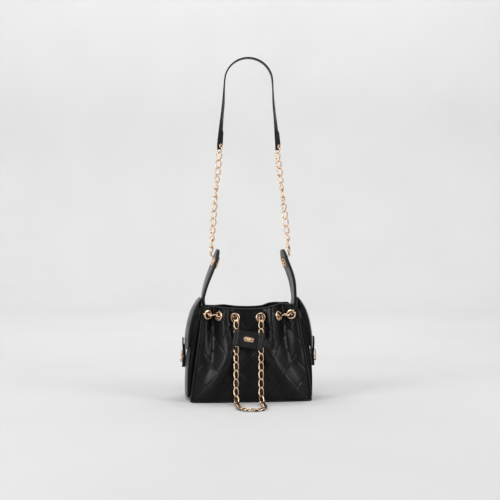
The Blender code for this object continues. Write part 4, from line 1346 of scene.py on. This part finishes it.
def build_buckle(word, side, body):
    """The buckle's frame with its bar, and the tongue that hooks round the bar and lies on the frame."""
    ring_x = 120.8 * MM + BELT_THICKNESS / 2 + GAP + BUCKLE_WIRE
    bar_x = 120.4 * MM - BELT_THICKNESS / 2 - GAP - BUCKLE_WIRE
    corner = 2.8 * MM
    outline = []
    for turn_y, turn_z, start in ((1, 1, 0), (-1, 1, 90), (-1, -1, 180), (1, -1, 270)):
        for degrees in even(start, start + 90, 7):
            y = turn_y * (BUCKLE_HALF_Y - corner) + corner * cos(radians(degrees))
            z = turn_z * (BUCKLE_HALF_Z - corner) + corner * sin(radians(degrees))
            outline.append(Vector((side * ring_x, y, BUCKLE_Z + z)))
    section = oval(BUCKLE_WIRE, BUCKLE_WIRE * 1.15, 12, 0.8)
    build = Build().sweep(frames_along(outline, RIGHT, closed=True), section, closed=True)
    inner_y = BELT_WIDTH / 2 + 0.4 * MM
    ends = ((ring_x, -BUCKLE_HALF_Y), (bar_x, -inner_y), (bar_x, inner_y), (ring_x, BUCKLE_HALF_Y))
    bar = [Vector((side * x, y, BUCKLE_Z)) for x, y in ends]
    build.sweep(frames_along(bar, UP), circle(BUCKLE_WIRE * 0.9))
    build.piece(f"{word}_buckle_metal", GOLD, body, f"buckle_{word}")
    wrap = BUCKLE_WIRE + GAP + 0.85 * MM
    line = []
    for degrees in (60, 45, 30, 15, 0):
        angle = radians(degrees)
        line.append(Vector((side * (bar_x + wrap * cos(angle)), 0, BUCKLE_Z + wrap * sin(angle))))
    tip_x = ring_x + BUCKLE_WIRE + GAP + 0.85 * MM
    line.append(Vector((side * (tip_x - 0.6 * MM), 0, BUCKLE_Z - 5.0 * MM)))
    line.append(Vector((side * tip_x, 0, BUCKLE_Z - BUCKLE_HALF_Z - 1.2 * MM)))
    prong = f"prong_{word}"
    add_cord(f"{word}_buckle_tongue", spline(line, 5), BACK, circle(0.8 * MM), GOLD, prong, prong)


# ---- the frame's own nodes that stay in view ----
def paint_frame():
    finishes = {"base_board": BOARD}
    for word, _ in SIDES:
        finishes |= {f"snap_flap_{word}": STEEL, f"snap_pocket_{word}": STEEL, f"strap_toggle_{word}": GOLD}
    for name, material in finishes.items():
        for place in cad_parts[name].material_slots:
            place.material = material


# ---- stage ----
def stage_material():
    material, tree, shader = new_material("studio paper", (0.6, 0.6, 0.6), 0.9)
    grain = texture(tree, "ShaderNodeTexNoise", 3, Detail=2.0)
    spread(tree, grain, (0.59, 0.59, 0.59), (0.61, 0.61, 0.61), "Base Color")
    shader.inputs["Specular IOR Level"].default_value = 0.1
    return material


def build_stage():
    """A pale round floor that curves up into a wall all round the bag."""
    floor_radius, curve, top = 2.4, 1.0, 3.3
    profile = [(0.02, 0.0), (floor_radius / 2, 0.0), (floor_radius, 0.0)]
    for angle in even(0, pi / 2, 12)[1:]:
        profile.append((floor_radius + curve * sin(angle), curve - curve * cos(angle)))
    profile.append((floor_radius + curve, top))
    sweep = Build().rings([[polar(radius, a, z) for a in turns(96)] for radius, z in profile], caps=False)
    sweep.faces.append(tuple(range(96)))
    obj = new_object("studio_sweep", sweep.mesh("studio_sweep"))
    obj.data.materials.append(stage_material())


def add_light(name, place, target, size, power):
    light = bpy.data.lights.new(name, "AREA")
    light.shape = "RECTANGLE"
    light.size, light.size_y = size
    light.energy = power
    obj = new_object(name, light)
    obj.location = place
    obj.rotation_euler = (Vector(target) - Vector(place)).to_track_quat("-Z", "Y").to_euler()


def build_lights():
    add_light("overhead", (0, 0.9, 3.4), (0, 0.9, 0), (5.0, 4.0), 50)
    add_light("front_softbox", (-0.2, -1.3, 1.9), (0, 0, 0.12), (1.3, 0.6), 9)
    add_light("left_softbox", (-1.5, -1.0, 1.0), (0, 0, 0.12), (0.8, 1.0), 19)
    add_light("right_softbox", (1.5, -1.1, 1.0), (0, 0, 0.12), (0.8, 1.0), 17)
    add_light("backdrop_wash", (0, 0.9, 2.9), (0, 3.4, 0.8), (3.4, 0.6), 78)
    world = bpy.data.worlds.new("studio")
    world.use_nodes = True
    world.node_tree.nodes["Background"].inputs["Color"].default_value = (1, 1, 1, 1)
    world.node_tree.nodes["Background"].inputs["Strength"].default_value = 0.1
    bpy.context.scene.world = world


def build_camera():
    """Level, a little to the bag's left, at the height of the tabs."""
    distance, height, azimuth = 1.684, 0.272, radians(-6)
    camera = bpy.data.cameras.new("camera")
    camera.sensor_width = 36
    camera.lens = 65.66
    camera.shift_x = 0.0028
    obj = new_object("camera", camera)
    obj.location = (sin(azimuth) * distance, -cos(azimuth) * distance, height)
    obj.rotation_euler = (pi / 2, 0, azimuth)
    bpy.context.scene.camera = obj
    bpy.context.scene.view_settings.view_transform = "Standard"


build_camera()
build_drawstring()
build_panels()
build_gussets()
build_edges()
build_lining()
build_eyelets()
build_shoulder_chains()
build_slider()
build_tabs()
build_strap()
build_pockets()
build_bellows()
build_flaps()
paint_frame()
build_stage()
build_lights()
